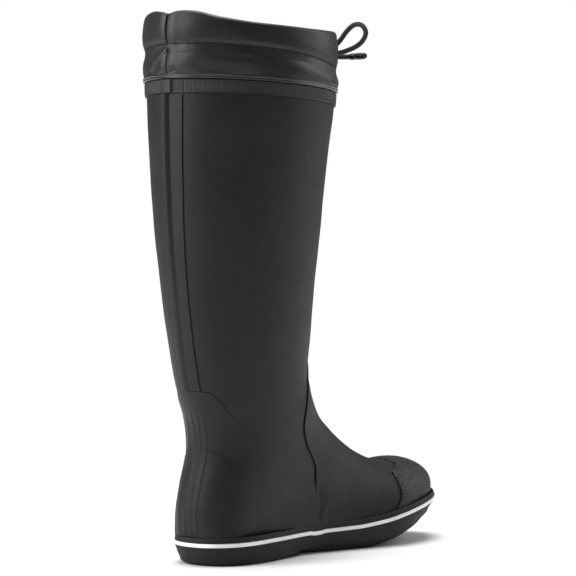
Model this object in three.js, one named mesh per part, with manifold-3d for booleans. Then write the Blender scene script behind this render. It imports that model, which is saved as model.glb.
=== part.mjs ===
// A tall rubber deck boot for the left foot, with a cloth gaiter and a drawcord at its top.
// +Y runs from the heel to the toe, +Z up the leg and +X to the inner (big toe) side.
import * as THREE from 'three';
import Module from 'manifold-3d';
import { mergeVertices } from 'three/addons/utils/BufferGeometryUtils.js';

const wasm = await Module();
wasm.setup();

// Driving dimensions, millimetres
const footLength = 284; // heel to toe, outside of the sole
const soleWidth = 97; // across the ball, outside of the sole
const ankleHeight = 146; // floor to the narrowest part of the leg
const legHeight = 371; // floor to the rubber rim at the back
const rimFall = 8; // how much lower the rim is at the front
const rimDepth = 160.5;
const rimWidth = 134;
const rimOverhang = 20.5; // rim behind the heel
const gaiterPanelHeight = 23;
const gaiterHemHeight = 25;

const rubberWall = 1.6; // leg and foot sheets
const overlayWall = 1; // pieces laid on the sheets
const stiffenerWall = 1;
const liningWall = 2.2;
const clothWall = 0.8;
const gap = 0.3; // between pieces that touch

const soleThickness = 12; // floor to the underside of the upper, at the heel
const treadThickness = 6;
const treadBevel = 3; // rounding of the tread's lower edge
const heelLiftHeight = 3;
const heelLength = 102; // from the back of the sole to the heel breast
const boardWall = 2;
const footbedWall = 4;
const footbedClearance = 1.5; // between the footbed and the lining, all round
const foxingWall = 3; // wall of the band round the sole
const stripeHeight = 3;
const foxingTopHeight = 4; // strip above the stripe

const topBandHeight = 10;
const pipingHeight = 2.6;
const pipingWall = 2.8;
const stripTopHalf = 13.3; // half width of the back strip at the top band
const stripHalf = 10.5; // and lower down
const ribHalfWidth = 4.5;
const ribHeight = 2;

const cordRadius = 2;
const cordSides = 8;
const eyeletSpacing = 18;
const eyeletClearance = 0.6; // round the cord
const eyeletBarrelWall = 0.7;
const eyeletRim = 1.5; // flange beyond the barrel
const eyeletFlangeWall = 0.8;
const tipRadius = 2.7;
const tipLength = 17;
const knotWidth = 16;
const knotRadius = 6; // at its two ends
const knotBelly = 0.8; // how much fatter it is in the middle
const knotForward = 14.4; // middle of the knot, in front of the hem
const hemOut = 2.6; // outside of the hem beyond the leg

const turns = 26; // facets round the leg
const beyond = 80; // reach of cutting tools past the boot

const eyeletBore = cordRadius + eyeletClearance;
const eyeletBarrel = eyeletBore + eyeletBarrelWall;
const eyeletFlange = eyeletBarrel + eyeletRim;

// The sizes that the rows below are drawn for
const drawn = { length: 284, width: 97, ankle: 146 };
const along = (y) => (y * footLength) / drawn.length;
const across = (x) => (x * soleWidth) / drawn.width;
const upward = (z) => (z * ankleHeight) / drawn.ankle;

// ---- Lines along the sole, at the distance y from the heel

// Smooth value between rows of [y, value, ...], held past the first and last row
function valueAt(rows, y, column) {
  const last = rows.length - 1;
  if (y <= rows[0][0]) return rows[0][column];
  if (y >= rows[last][0]) return rows[last][column];
  const i = rows.findIndex((row) => row[0] > y) - 1;
  const span = rows[i + 1][0] - rows[i][0];
  const slope = (a, b) => (rows[b][column] - rows[a][column]) / (rows[b][0] - rows[a][0]);
  const k = (y - rows[i][0]) / span;
  const before = slope(Math.max(i - 1, 0), i + 1) * span;
  const after = slope(i, Math.min(i + 2, last)) * span;
  const h = k * k * (3 - 2 * k);
  return rows[i][column] * (1 - h) + rows[i + 1][column] * h + before * k * (1 - k) ** 2 - after * k * k * (1 - k);
}

// y, underside of the tread, middle of the stripe, lower edge of the foxing
const soleRows = [
  [0, 0, 16.2, 4],
  [25, 0, 16.6, 1.2],
  [60, 0, 17.2, 0.8],
  [104, 0, 17.4, 3.6],
  [160, 0, 18.6, 4],
  [172, 0, 19.7, 4.6],
  [190, 2.6, 21.9, 6.2],
  [210, 7, 25.6, 10.2],
  [230, 11.2, 29.2, 15],
  [255, 16.5, 32.6, 21.5],
  [284, 23, 34.5, 26.5],
];
const underside = (y) => Math.max(0, valueAt(soleRows, (y * drawn.length) / footLength, 1));
const stripeMiddle = (y) => valueAt(soleRows, (y * drawn.length) / footLength, 2) + soleThickness - 12;
const foxingEdge = (y) => valueAt(soleRows, (y * drawn.length) / footLength, 3);
const upperBottom = (y) => stripeMiddle(y) - 4; // underside of the upper

// Outline of the sole, seen from above, from the back of the heel round the inner side
const outlineRows = [
  [0, 0], [17, 4], [30, 17], [36, 38], [34.5, 68], [30, 98], [30, 125], [36, 155], [42.5, 185], [45.5, 210],
  [43, 234], [35, 256], [21, 275], [4, 284], [-13, 281], [-29, 268], [-42, 245], [-49.5, 218], [-51.5, 190],
  [-48, 158], [-43, 125], [-39.5, 95], [-38, 65], [-36.5, 38], [-30, 17], [-17, 4],
];
const outline = new THREE.SplineCurve(outlineRows.map(([x, y]) => new THREE.Vector2(across(x), along(y))));

// ---- The surface of the boot: rows run down the leg, round the ankle and out to the toe.
// Each row is a section through the back point [y, z] and the front point [y, z], with its half
// widths on the inner and outer side, its squareness at the back, where it is widest and its shift in x.

function legRow(share) {
  const ankleBack = along(-1.5);
  const ankleFront = along(120);
  const ankleHalf = across(43.5);
  const flare = Math.min(share, 1); // the leg stands straight above the rim
  const back = ankleBack - (ankleBack + rimOverhang) * (1 - (1 - flare) ** 2.4);
  const front = ankleFront + (rimDepth - rimOverhang - ankleFront) * flare ** 1.25;
  const half = ankleHalf + (rimWidth / 2 - ankleHalf) * flare ** 0.88;
  const height = ankleHeight + (legHeight - ankleHeight) * share;
  return {
    back: [back, height],
    front: [front, height - rimFall * Math.min(share, 1)],
    inner: half,
    outer: half,
    square: 2,
    widest: 0.5,
    shift: 0,
  };
}

const footRows = [
  // back y, z, front y, z, inner, outer, squareness, widest, shift
  [-1.5, 146, 120, 146, 43.5, 43.5, 2, 0.5, 0],
  [4, 126, 122.8, 133, 42, 42, 2, 0.5, 0],
  [11, 106, 128.6, 121.6, 39.5, 39.5, 2.1, 0.5, 0],
  [12, 82, 136.6, 112, 36.5, 37, 2.2, 0.48, 0],
  [6, 60, 145.2, 104.6, 35, 35.5, 2.3, 0.45, 0],
  [2, 39, 154, 98.4, 33.5, 34.5, 2.5, 0.42, 0],
  [5.5, 19, 161.8, 93.2, 32, 34, 3.2, 0.38, 0],
  [18, 12.6, 168.8, 88.6, 30, 34, 4.5, 0.35, 0],
  [60, 13, 178.8, 82.2, 28, 35, 5, 0.31, 0],
  [112, 13.4, 191.5, 75, 28.5, 38, 5, 0.3, 0],
  [160, 14.8, 209.5, 67.8, 34, 43.5, 5, 0.3, 0],
  [200, 19, 228.5, 65.6, 40.5, 46, 5, 0.34, 0],
  [230, 24.6, 248, 66.2, 37.5, 42.5, 4.5, 0.38, -1],
  [252, 28, 265.5, 60.4, 29.5, 33, 3.5, 0.42, -1],
  [268, 31, 276.5, 49.2, 16, 19, 2.5, 0.5, -2],
].map(([backY, backZ, frontY, frontZ, inner, outer, square, widest, shift]) => ({
  back: [along(backY), upward(backZ)],
  front: [along(frontY), upward(frontZ)],
  inner: across(inner),
  outer: across(outer),
  square,
  widest,
  shift: across(shift),
}));
const toePole = new THREE.Vector3(across(-2), along(280), upward(39));

const legShares = [1.3, 1, 0.78, 0.56, 0.36, 0.17];
const rows = [...legShares.map(legRow), ...footRows];
const toeEnd = rows.length - 1;

// Catmull-Rom between rows
function mixed(read, t) {
  const i = Math.min(Math.floor(t), toeEnd - 1);
  const k = t - i;
  const [a, b, c, d] = [-1, 0, 1, 2].map((step) => read(rows[THREE.MathUtils.clamp(i + step, 0, toeEnd)]));
  return b + 0.5 * k * (c - a + k * (2 * a - 5 * b + 4 * c - d + k * (3 * (b - c) + d - a)));
}

// Point on the surface: t counts rows, turn is 0 at the front and grows towards the inner side
function surface(t, turn) {
  const back = new THREE.Vector3(0, mixed((r) => r.back[0], t), mixed((r) => r.back[1], t));
  const front = new THREE.Vector3(0, mixed((r) => r.front[0], t), mixed((r) => r.front[1], t));
  const middle = back.clone().lerp(front, mixed((r) => r.widest, t));
  const toFront = Math.cos(turn);
  const toSide = Math.sin(turn);
  const power = toFront > 0 ? 2 : mixed((r) => r.square, t);
  const reach = (Math.abs(toFront) ** power + Math.abs(toSide) ** power) ** (-1 / power);
  const half = toSide > 0 ? mixed((r) => r.inner, t) : mixed((r) => r.outer, t);
  const point = middle.clone();
  point.addScaledVector(toFront > 0 ? front.sub(middle) : middle.clone().sub(back), toFront * reach);
  point.x = mixed((r) => r.shift, t) + half * toSide * reach;
  return point;
}

function lifted(t, turn, lift) {
  const step = 0.02;
  const down = surface(Math.min(t + step, toeEnd), turn).sub(surface(Math.max(t - step, 0), turn));
  const round = surface(t, turn + step).sub(surface(t, turn - step));
  return surface(t, turn).addScaledVector(round.cross(down).normalize(), lift);
}

// ---- Solids

function solid(geometry) {
  const bare = new THREE.BufferGeometry().setAttribute('position', geometry.getAttribute('position'));
  if (geometry.index) bare.setIndex(geometry.index);
  const merged = mergeVertices(bare, 1e-4);
  const vertProperties = new Float32Array(merged.attributes.position.array);
  return new wasm.Manifold(new wasm.Mesh({ numProp: 3, vertProperties, triVerts: new Uint32Array(merged.index.array) }));
}

// The boot's whole outside, moved out by lift, as one closed solid
const bodies = new Map();
function body(lift) {
  if (bodies.has(lift)) return bodies.get(lift);
  const points = [];
  for (let row = 0; row <= toeEnd; row++) {
    for (let i = 0; i < turns; i++) points.push(lifted(row, (i / turns) * Math.PI * 2, lift));
  }
  const top = points.length;
  points.push(surface(0, 0).lerp(surface(0, Math.PI), 0.5));
  points.push(toePole.clone().add(new THREE.Vector3(0, lift, 0)));
  const faces = [];
  for (let i = 0; i < turns; i++) {
    const next = (i + 1) % turns;
    faces.push(top, next, i);
    for (let row = 0; row < toeEnd; row++) {
      const here = row * turns;
      const below = here + turns;
      faces.push(here + i, here + next, below + i, here + next, below + next, below + i);
    }
    faces.push(toeEnd * turns + i, toeEnd * turns + next, top + 1);
  }
  const geometry = new THREE.BufferGeometry().setFromPoints(points);
  geometry.setIndex(faces);
  const made = solid(geometry);
  bodies.set(lift, made);
  return made;
}

const shell = (inside, outside) => body(outside).subtract(body(inside));

// A prism through the whole boot from an outline of [y, z] points, seen from the inner side
function sideCut(points) {
  const shape = new THREE.Shape(points.map(([y, z]) => new THREE.Vector2(y, z)));
  const geometry = new THREE.ExtrudeGeometry(shape, { depth: 2 * beyond, bevelEnabled: false });
  geometry.translate(0, 0, -beyond);
  geometry.applyMatrix4(new THREE.Matrix4().set(0, 0, 1, 0, 1, 0, 0, 0, 0, 1, 0, 0, 0, 0, 0, 1));
  return solid(geometry);
}

// A prism from front to back from an outline of [x, z] points
function backCut(points, from, to) {
  const shape = new THREE.Shape(points.map(([x, z]) => new THREE.Vector2(x, z)));
  const geometry = new THREE.ExtrudeGeometry(shape, { depth: to - from, bevelEnabled: false });
  geometry.rotateX(Math.PI / 2);
  geometry.translate(0, to, 0);
  return solid(geometry);
}

// Points drawn for the drawn foot, on this one
const onBoot = (points) => points.map(([y, z]) => [along(y), upward(z)]);

// A smooth run of [y, z] points through a few chosen ones
function curve(points, steps = 3) {
  const spline = new THREE.SplineCurve(points.map(([y, z]) => new THREE.Vector2(y, z)));
  return spline.getPoints(steps * (points.length - 1)).map((p) => [p.x, p.y]);
}

const soleStations = [-12, 20, 60, 100, 130, 150, 172, 190, 205, 225, 245, 262, 275, 296].map(along);
// Everything between two heights that follow the sole's lines
function between(low, high) {
  const lower = soleStations.map((y) => [y, low(y)]);
  const upper = soleStations.map((y) => [y, high(y)]);
  return sideCut([...lower, ...upper.reverse()]);
}

// A prism straight up from the sole's outline moved in by inset
function soleCut(inset) {
  const count = 52;
  const path = [...outline.points, outline.points[0]];
  const closed = new THREE.CatmullRomCurve3(
    path.slice(0, -1).map((p) => new THREE.Vector3(p.x, p.y, 0)),
    true,
    'centripetal',
  );
  const points = [];
  for (let i = 0; i < count; i++) {
    const point = closed.getPointAt(i / count);
    const tangent = closed.getTangentAt(i / count);
    points.push(new THREE.Vector2(point.x - tangent.y * inset, point.y + tangent.x * inset));
  }
  const height = legHeight;
  const geometry = new THREE.ExtrudeGeometry(new THREE.Shape(points), { depth: height, bevelEnabled: false });
  geometry.translate(0, 0, -beyond);
  return solid(geometry);
}

// Height of the rim at the distance y from the heel, moved up by rise
const rimAt = (y, rise) => legHeight + rise - (rimFall * (y + rimOverhang)) / rimDepth;
function overRim(low, high) {
  const [from, to] = [-beyond, footLength + beyond];
  return sideCut([[from, rimAt(from, low)], [to, rimAt(to, low)], [to, rimAt(to, high)], [from, rimAt(from, high)]]);
}

// ---- The model

const boot = new THREE.Group();

function add(name, made, color, roughness, metalness = 0) {
  let geometry = made;
  if (!made.isBufferGeometry) {
    const { vertProperties, triVerts } = made.getMesh();
    geometry = new THREE.BufferGeometry();
    geometry.setAttribute('position', new THREE.BufferAttribute(vertProperties, 3));
    geometry.setIndex(new THREE.BufferAttribute(triVerts, 1));
    geometry.computeVertexNormals();
  }
  const mesh = new THREE.Mesh(geometry, new THREE.MeshStandardMaterial({ color, roughness, metalness }));
  mesh.name = name;
  boot.add(mesh);
  return mesh;
}

const rubberBlack = 0x2e2e2f;
const soleBlack = 0x2a2a2b;
const stripeWhite = 0xe9e9e6;
const clothBlack = 0x303132;
const liningGrey = 0x55585c;
const cordBlack = 0x262627;

// Shared heights and zones
const patchLift = 2 * gap + 1.8 * overlayWall;
const patchTop = [[-beyond, upward(91)], ...curve(onBoot([[9, 91], [15, 87], [23, 78], [36, 58], [45, 36], [47, 12]]))];
const patchZone = sideCut([...patchTop, [-beyond, upward(12)]]);

// Sole
const boardTop = (y) => upperBottom(y) + rubberWall + gap + boardWall;
const heelFront = along(heelLength);
const archFront = along(150);
const archLine = curve([[heelFront, heelLiftHeight], [along(126), 2], [archFront, 0]]);
const archGap = sideCut([[heelFront, -beyond], ...archLine, [archFront, -beyond]]);
const heelSeat = sideCut([
  [-beyond, -beyond],
  [-beyond, heelLiftHeight],
  [heelFront - gap, heelLiftHeight],
  [heelFront - gap, -beyond],
]);
const treadEdge = soleCut(foxingWall + gap).intersect(between((y) => underside(y) + treadBevel, (y) => underside(y) + treadThickness));
const treadFace = soleCut(foxingWall + treadBevel).intersect(between(underside, (y) => underside(y) + treadThickness));
add('outsole', treadEdge.add(treadFace).subtract(heelSeat.add(archGap)), soleBlack, 0.75);
const heelWedge = sideCut([[-beyond, 0], [-beyond, heelLiftHeight - gap], [heelFront - gap, heelLiftHeight - gap], [heelFront - gap, 0]]);
add('heel_lift', soleCut(foxingWall + treadBevel).intersect(heelWedge), soleBlack, 0.75);
const fillerBlock = between((y) => underside(y) + treadThickness + gap, (y) => stripeMiddle(y));
const fillerInset = foxingWall + 2;
add('sole_filler', soleCut(fillerInset).intersect(fillerBlock).subtract(body(patchLift + gap)), 0x3c3c3e, 0.9);

// Foxing round the edge of the sole
const stripeLow = (y) => stripeMiddle(y) - stripeHeight / 2;
const stripeHigh = (y) => stripeMiddle(y) + stripeHeight / 2;
function foxing(name, wall, low, high, color, roughness) {
  const ring = soleCut(0).subtract(soleCut(wall));
  const clear = body(overlayWall + 2 * gap).add(body(patchLift + gap).intersect(patchZone));
  add(name, ring.intersect(between(low, high)).subtract(clear), color, roughness);
}
foxing('foxing_lower', foxingWall, foxingEdge, (y) => stripeLow(y) - gap, soleBlack, 0.7);
foxing('foxing_stripe', foxingWall, stripeLow, stripeHigh, stripeWhite, 0.5);
foxing('foxing_upper', foxingWall, (y) => stripeHigh(y) + gap, (y) => stripeHigh(y) + gap + foxingTopHeight, soleBlack, 0.7);

// Leg and foot sheets, split round the ankle
const splitBack = upward(104);
const splitFront = upward(134);
const ankleLine = (rise) => [[-beyond, splitBack - 20 + rise], [along(8), splitBack + rise], [along(130), splitFront + rise], [along(200), splitFront + 20 + rise]];
const aboveAnkle = (rise) => sideCut([...ankleLine(rise), [along(200), 2 * legHeight], [-beyond, 2 * legHeight]]);
const belowAnkle = (rise) => sideCut([[-beyond, -beyond], [along(340), -beyond], [along(340), splitFront + rise + 20], ...ankleLine(rise).reverse()]);
const belowRim = overRim(-2 * legHeight, 0);
const sheet = shell(-rubberWall, 0);
add('leg_rubber', sheet.intersect(aboveAnkle(gap)).intersect(belowRim), rubberBlack, 0.55);
add('foot_rubber', sheet.intersect(belowAnkle(0)), rubberBlack, 0.55);

// Stiffeners behind the sheets
const aboveBoard = (rise) => between((y) => boardTop(y) + rise, () => legHeight + beyond);
const stiffenerIn = -rubberWall - gap - stiffenerWall;
const toeZone = sideCut([[along(226), -beyond], [along(238), upward(90)], [along(330), upward(90)], [along(330), -beyond]]);
const heelZone = sideCut([[-beyond, -beyond], [-beyond, upward(72)], [along(30), upward(72)], [along(78), upward(40)], [along(82), -beyond]]);
const liner = shell(stiffenerIn, -rubberWall - gap).intersect(aboveBoard(gap));
add('toe_stiffener', liner.intersect(toeZone), 0x4a4a4c, 0.6);
add('heel_stiffener', liner.intersect(heelZone), 0x4a4a4c, 0.6);

// Lining, recessed over the stiffeners
const liningOut = -rubberWall - gap;
const liningIn = liningOut - liningWall;
const socket = body(liningOut).intersect(aboveBoard(gap)).subtract(body(liningIn).intersect(aboveBoard(gap + 1)));
const recess = shell(stiffenerIn - gap, liningOut + 1);
const wider = (zone, grow) => zone.translate([0, grow, 0]).add(zone);
const bothZones = wider(toeZone, -0.6).add(wider(heelZone, 0.6).add(heelZone.translate([0, 0, 0.6])));
const lining = socket.subtract(recess.intersect(bothZones)).intersect(overRim(-2 * legHeight, -gap));
add('leg_lining', lining.intersect(aboveAnkle(gap)), liningGrey, 0.95);
add('foot_lining', lining.intersect(belowAnkle(0)), liningGrey, 0.95);
const boardZone = between(() => -beyond, boardTop);
add('insole_board', body(-rubberWall - gap).intersect(boardZone), 0x8a7f6a, 0.9);

// Removable footbed
const footbedBase = (y) => boardTop(y) + 1 + 2 * gap;
const footbedZone = between(footbedBase, (y) => footbedBase(y) + footbedWall);
add('footbed', body(liningIn - footbedClearance).intersect(footbedZone), 0x3a3d42, 0.95);

// Overlays on the foot
const overlay = shell(gap, gap + overlayWall);
const aboveFoxing = between((y) => stripeMiddle(y) - 3, () => legHeight);
const seam = curve(onBoot([[113, 154], [103.5, 137], [96, 117], [95, 102], [102, 87], [113.5, 74], [117.5, 60], [118, 10]]));
const capLobe = onBoot([[229, 90], [229, 63], [221, 60.5], [213.5, 58]]);
const capSide = curve(onBoot([[213.5, 58], [211.5, 52], [210, 44], [206.5, 36], [200, 28], [190, 12]]));
const capLine = [...capLobe, ...capSide.slice(1)];
const shifted = (line, by) => line.map(([y, z]) => [y + by, z]);
const vampZone = sideCut([...seam, ...shifted(capLine, -gap).reverse(), [along(150), upward(154)]]);
add('vamp', overlay.intersect(vampZone).intersect(aboveFoxing), rubberBlack, 0.55);
const capZone = sideCut([...shifted(capLine, gap), [along(320), upward(15)], [along(320), upward(90)]]);
add('toe_cap', overlay.intersect(capZone).intersect(aboveFoxing), rubberBlack, 0.65);

const counterTop = [
  [-beyond, upward(134)],
  ...curve(onBoot([[3, 134], [8.5, 131.5], [17.5, 120], [36, 97], [50, 68], [58, 38], [60, 12]])),
];
const counterZone = sideCut([...counterTop, [-beyond, upward(12)]]);
add('heel_counter', overlay.intersect(counterZone).intersect(aboveFoxing), rubberBlack, 0.55);
const patchShell = shell(2 * gap + overlayWall, patchLift);
add('heel_patch', patchShell.intersect(patchZone).intersect(aboveFoxing), rubberBlack, 0.55);

// Back strip with its rib, between the counter and the top band
const stripTop = legHeight - topBandHeight - 1;
const stripNarrow = legHeight * 0.6; // height below which the strip keeps its width
function stripSlab(topHalf, half) {
  const right = [[half, 0], [half, stripNarrow], [topHalf, stripTop]];
  const left = right.map(([x, z]) => [-x, z]).reverse();
  return backCut([...right, ...left], -beyond, along(20));
}
const rib = shell(gap, gap + overlayWall + ribHeight).intersect(stripSlab(ribHalfWidth, ribHalfWidth));
const strip = overlay.intersect(stripSlab(stripTopHalf, stripHalf)).add(rib);
const overCounter = sideCut([...shifted(counterTop, gap).map(([y, z]) => [y, z + gap]), [-beyond, -beyond]]);
add('back_strip', strip.subtract(overCounter), rubberBlack, 0.5);

// Rim: knurled band and piping
add('top_band', shell(gap, gap + overlayWall).intersect(overRim(-topBandHeight, 0)), rubberBlack, 0.7);
const pipingOut = gap + overlayWall + 0.6;
add('rim_piping', shell(pipingOut - pipingWall, pipingOut).intersect(overRim(gap, gap + pipingHeight)), 0x1f1f20, 0.25);

// Gaiter: a cloth panel and, above it, a hollow hem for the drawcord
const panelLow = 2 * gap + pipingHeight;
const hemLow = panelLow + gaiterPanelHeight;
const hemTop = hemLow + gaiterHemHeight;
const hollowWidth = 2 * cordRadius + 4 * gap;
const hemIn = hemOut - 2 * clothWall - hollowWidth;
add('gaiter_panel', shell(0.6, 0.6 + 2 * clothWall).intersect(overRim(panelLow, hemLow - gap)), clothBlack, 0.45);

const hemHollow = shell(hemIn + clothWall, hemOut - clothWall).intersect(overRim(hemLow + clothWall, hemTop - clothWall));
const hemSolid = shell(hemIn, hemOut).intersect(overRim(hemLow, hemTop)).subtract(hemHollow);

// Eyelets in the front of the hem, in the frame of the boot's front
const cordHeight = hemLow + gaiterHemHeight * 0.42;
const frontAt = (x, lift) => {
  const depth = rimDepth / 2 + lift;
  const half = rimWidth / 2 + lift;
  return rimDepth / 2 - rimOverhang + depth * Math.sqrt(1 - (x / half) ** 2);
};
const eyeletPlaces = [eyeletSpacing / 2, -eyeletSpacing / 2].map((x) => {
  const y = frontAt(x, hemOut);
  return new THREE.Vector3(x, y, rimAt(y, cordHeight));
});
function boredHem() {
  let hem = hemSolid;
  for (const place of eyeletPlaces) {
    const drill = new THREE.CylinderGeometry(eyeletBarrel + gap, eyeletBarrel + gap, 6, 16);
    drill.translate(place.x, place.y, place.z);
    hem = hem.subtract(solid(drill));
  }
  return hem;
}
add('gaiter_hem', boredHem(), clothBlack, 0.45);
['eyelet_inner', 'eyelet_outer'].forEach((name, i) => {
  const flangeBack = gap + 0.15;
  const profile = [
    [eyeletBore, -1.2],
    [eyeletBarrel, -1.2],
    [eyeletBarrel, flangeBack],
    [eyeletFlange, flangeBack],
    [eyeletFlange, flangeBack + eyeletFlangeWall],
    [eyeletBore, flangeBack + eyeletFlangeWall],
    [eyeletBore, -1.2],
  ].map(([r, y]) => new THREE.Vector2(r, y));
  const ring = add(name, new THREE.LatheGeometry(profile, 16), 0x1c1c1d, 0.35, 0.6);
  ring.position.copy(eyeletPlaces[i]);
});

// ---- Drawcord: a length inside the hem, and two free ends tied in a bow

function cordTube(name, points, steps) {
  const section = new THREE.Shape();
  for (let i = 0; i < cordSides; i++) {
    const angle = (i / cordSides) * 2 * Math.PI;
    section[i ? 'lineTo' : 'moveTo'](cordRadius * Math.cos(angle), cordRadius * Math.sin(angle));
  }
  const extrudePath = new THREE.CatmullRomCurve3(points.map((p) => new THREE.Vector3(...p)));
  return add(name, new THREE.ExtrudeGeometry(section, { steps, extrudePath }), cordBlack, 0.85);
}

const hollowMiddle = hemOut - clothWall - hollowWidth / 2;
const hemRun = [];
const runStart = Math.asin((eyeletSpacing / 2 + cordRadius + 2 * gap) / (rimWidth / 2 + hollowMiddle));
const runPoints = 24;
for (let i = 0; i <= runPoints; i++) {
  const turn = runStart + (i / runPoints) * 2 * (Math.PI - runStart);
  const y = rimDepth / 2 - rimOverhang + (rimDepth / 2 + hollowMiddle) * Math.cos(turn);
  hemRun.push([(rimWidth / 2 + hollowMiddle) * Math.sin(turn), y, rimAt(y, cordHeight)]);
}
cordTube('drawcord_in_hem', hemRun, 44);

// Places on the cords are measured from the middle of the knot: out to the side, forward, up
const knotMiddle = new THREE.Vector3(0, frontAt(0, hemOut) + knotForward, eyeletPlaces[0].z + 1);
const eyeletBack = eyeletPlaces[0].y - knotMiddle.y;
const leadRoute = [
  [9, eyeletBack - 4.7, -1],
  [9, eyeletBack - 1, -1],
  [9, eyeletBack + 2.4, -1],
  [8.2, eyeletBack + 4.6, -0.7],
  [5.8, -9.4, -0.2],
  [5, -6.8 - 2 * gap, 0],
];
const loopRoute = [
  [8.4, 2.4, -1.2],
  [14.4, 2.6, -0.8],
  [23, 2.8, 0.8],
  [33, 2.6, 3.8],
  [40.4, 2.2, 8.4],
  [43.4, 1.8, 14.6],
  [39.4, 1.4, 20.2],
  [31.6, 1.2, 20.8],
  [24.2, 1, 16.2],
  [18.2, 0.7, 10],
  [13.4, 0.3, 5.8],
  [8.7, 0, 4.1],
];
const tailRoute = [
  [8.4, -2.2, -3.6],
  [15, -2.6, -4],
  [22, -2.4, -4.5],
  [30, -2.2, -4.8],
];
const tipEnd = [tipLength + 30 + gap, -2.2, -4.8];
// The bow's two halves are alike but not the same: side is +1 to the inner side
const place = (side, [x, y, z]) => [side * x, knotMiddle.y + y, knotMiddle.z + z + (side < 0 ? -x * 0.06 : 0)];
for (const [name, side] of [['a', 1], ['b', -1]]) {
  cordTube(`cord_${name}_lead`, leadRoute.map((p) => place(side, p)), 6);
  cordTube(`cord_${name}_loop`, loopRoute.map((p) => place(-side, p)), 16);
  cordTube(`cord_${name}_tail`, tailRoute.map((p) => place(side, p)), 3);
  const [x, y, z] = place(side, tipEnd);
  const tipProfile = [[0, 0], [1.7, 0], [tipRadius, 1.2], [tipRadius, tipLength - 2], [1.8, tipLength], [0, tipLength]];
  const tip = new THREE.LatheGeometry(tipProfile.map(([r, at]) => new THREE.Vector2(r, at)), 12);
  const mesh = add(`cord_tip_${name}`, tip, 0x1e1e1f, 0.35);
  mesh.position.set(x, y, z);
  mesh.rotation.z = (side * Math.PI) / 2;
}
const knotProfile = [
  [0, -knotWidth / 2],
  [knotRadius, -knotWidth / 2],
  [knotRadius + knotBelly, -knotWidth / 5],
  [knotRadius + knotBelly, knotWidth / 5],
  [knotRadius, knotWidth / 2],
  [0, knotWidth / 2],
].map(([r, at]) => new THREE.Vector2(r, at));
const knot = add('cord_knot', new THREE.LatheGeometry(knotProfile, 16), cordBlack, 0.85);
knot.position.copy(knotMiddle);
knot.rotation.z = Math.PI / 2;

// The origin is under the middle of the boot, on the floor; the bow in front doesn't count
const bounds = new THREE.Box3();
for (const mesh of boot.children) {
  if (!mesh.name.startsWith('cord_')) bounds.expandByObject(mesh);
}
boot.position.set(-(bounds.min.x + bounds.max.x) / 2, -(bounds.min.y + bounds.max.y) / 2, -bounds.min.z);

export default boot;
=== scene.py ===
import math

import bmesh
import bpy
from mathutils import Matrix, Vector, noise


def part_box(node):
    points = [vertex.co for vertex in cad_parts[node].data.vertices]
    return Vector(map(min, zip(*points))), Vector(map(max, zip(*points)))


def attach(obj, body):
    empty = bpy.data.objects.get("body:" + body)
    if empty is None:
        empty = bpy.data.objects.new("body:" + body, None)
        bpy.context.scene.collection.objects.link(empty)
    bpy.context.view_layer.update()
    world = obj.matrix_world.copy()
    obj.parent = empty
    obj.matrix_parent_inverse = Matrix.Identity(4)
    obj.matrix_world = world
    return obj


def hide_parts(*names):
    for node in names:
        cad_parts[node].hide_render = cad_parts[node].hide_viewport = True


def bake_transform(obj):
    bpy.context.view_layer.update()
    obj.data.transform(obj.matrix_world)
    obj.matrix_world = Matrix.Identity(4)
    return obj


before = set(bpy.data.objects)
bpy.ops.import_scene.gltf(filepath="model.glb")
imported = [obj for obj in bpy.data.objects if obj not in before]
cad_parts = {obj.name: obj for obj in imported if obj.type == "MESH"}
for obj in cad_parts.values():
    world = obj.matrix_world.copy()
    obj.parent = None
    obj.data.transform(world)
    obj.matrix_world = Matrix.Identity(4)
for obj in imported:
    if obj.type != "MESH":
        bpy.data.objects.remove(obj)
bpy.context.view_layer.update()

# One tall rubber deck boot with a cloth gaiter. Pieces are drawn in millimetres from the
# back of the sole, +Y to the toe and +X to the inner side, and placed in metres at the end.
mm = 0.001
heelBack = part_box("foxing_stripe")[0].y


def metres(point):
    return Vector((point[0] * mm, point[1] * mm + heelBack, point[2] * mm))


camera = {"place": (1295.1, -1324.1, 257.2), "towards": 42.0, "down": 1.37, "lens": 151.56}


def makeCamera(s):
    data = bpy.data.cameras.new("camera")
    data.lens = s["lens"]
    data.clip_start, data.clip_end = 0.05, 50
    cam = bpy.data.objects.new("camera", data)
    bpy.context.collection.objects.link(cam)
    cam.location = metres(s["place"])
    cam.rotation_euler = (math.radians(90 - s["down"]), 0, math.radians(s["towards"]))
    bpy.context.scene.camera = cam


makeCamera(camera)
print("camera placed")


# A smooth value between the rows, found by their first column
def valueAt(rows, x, column=1):
    if x <= rows[0][0]:
        return rows[0][column]
    if x >= rows[-1][0]:
        return rows[-1][column]
    i = 0
    while rows[i + 1][0] <= x:
        i += 1
    last = len(rows) - 1
    span = rows[i + 1][0] - rows[i][0]

    def slope(a, b):
        return (rows[b][column] - rows[a][column]) / (rows[b][0] - rows[a][0])

    k = (x - rows[i][0]) / span
    before = slope(max(i - 1, 0), i + 1) * span
    after = slope(i, min(i + 2, last)) * span
    h = k * k * (3 - 2 * k)
    ends = rows[i][column] * (1 - h) + rows[i + 1][column] * h
    return ends + before * k * (1 - k) ** 2 - after * k * k * (1 - k)


def catmull(a, b, c, d, k):
    return b + 0.5 * k * (c - a + k * (2 * a - 5 * b + 4 * c - d + k * (3 * (b - c) + d - a)))


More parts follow.
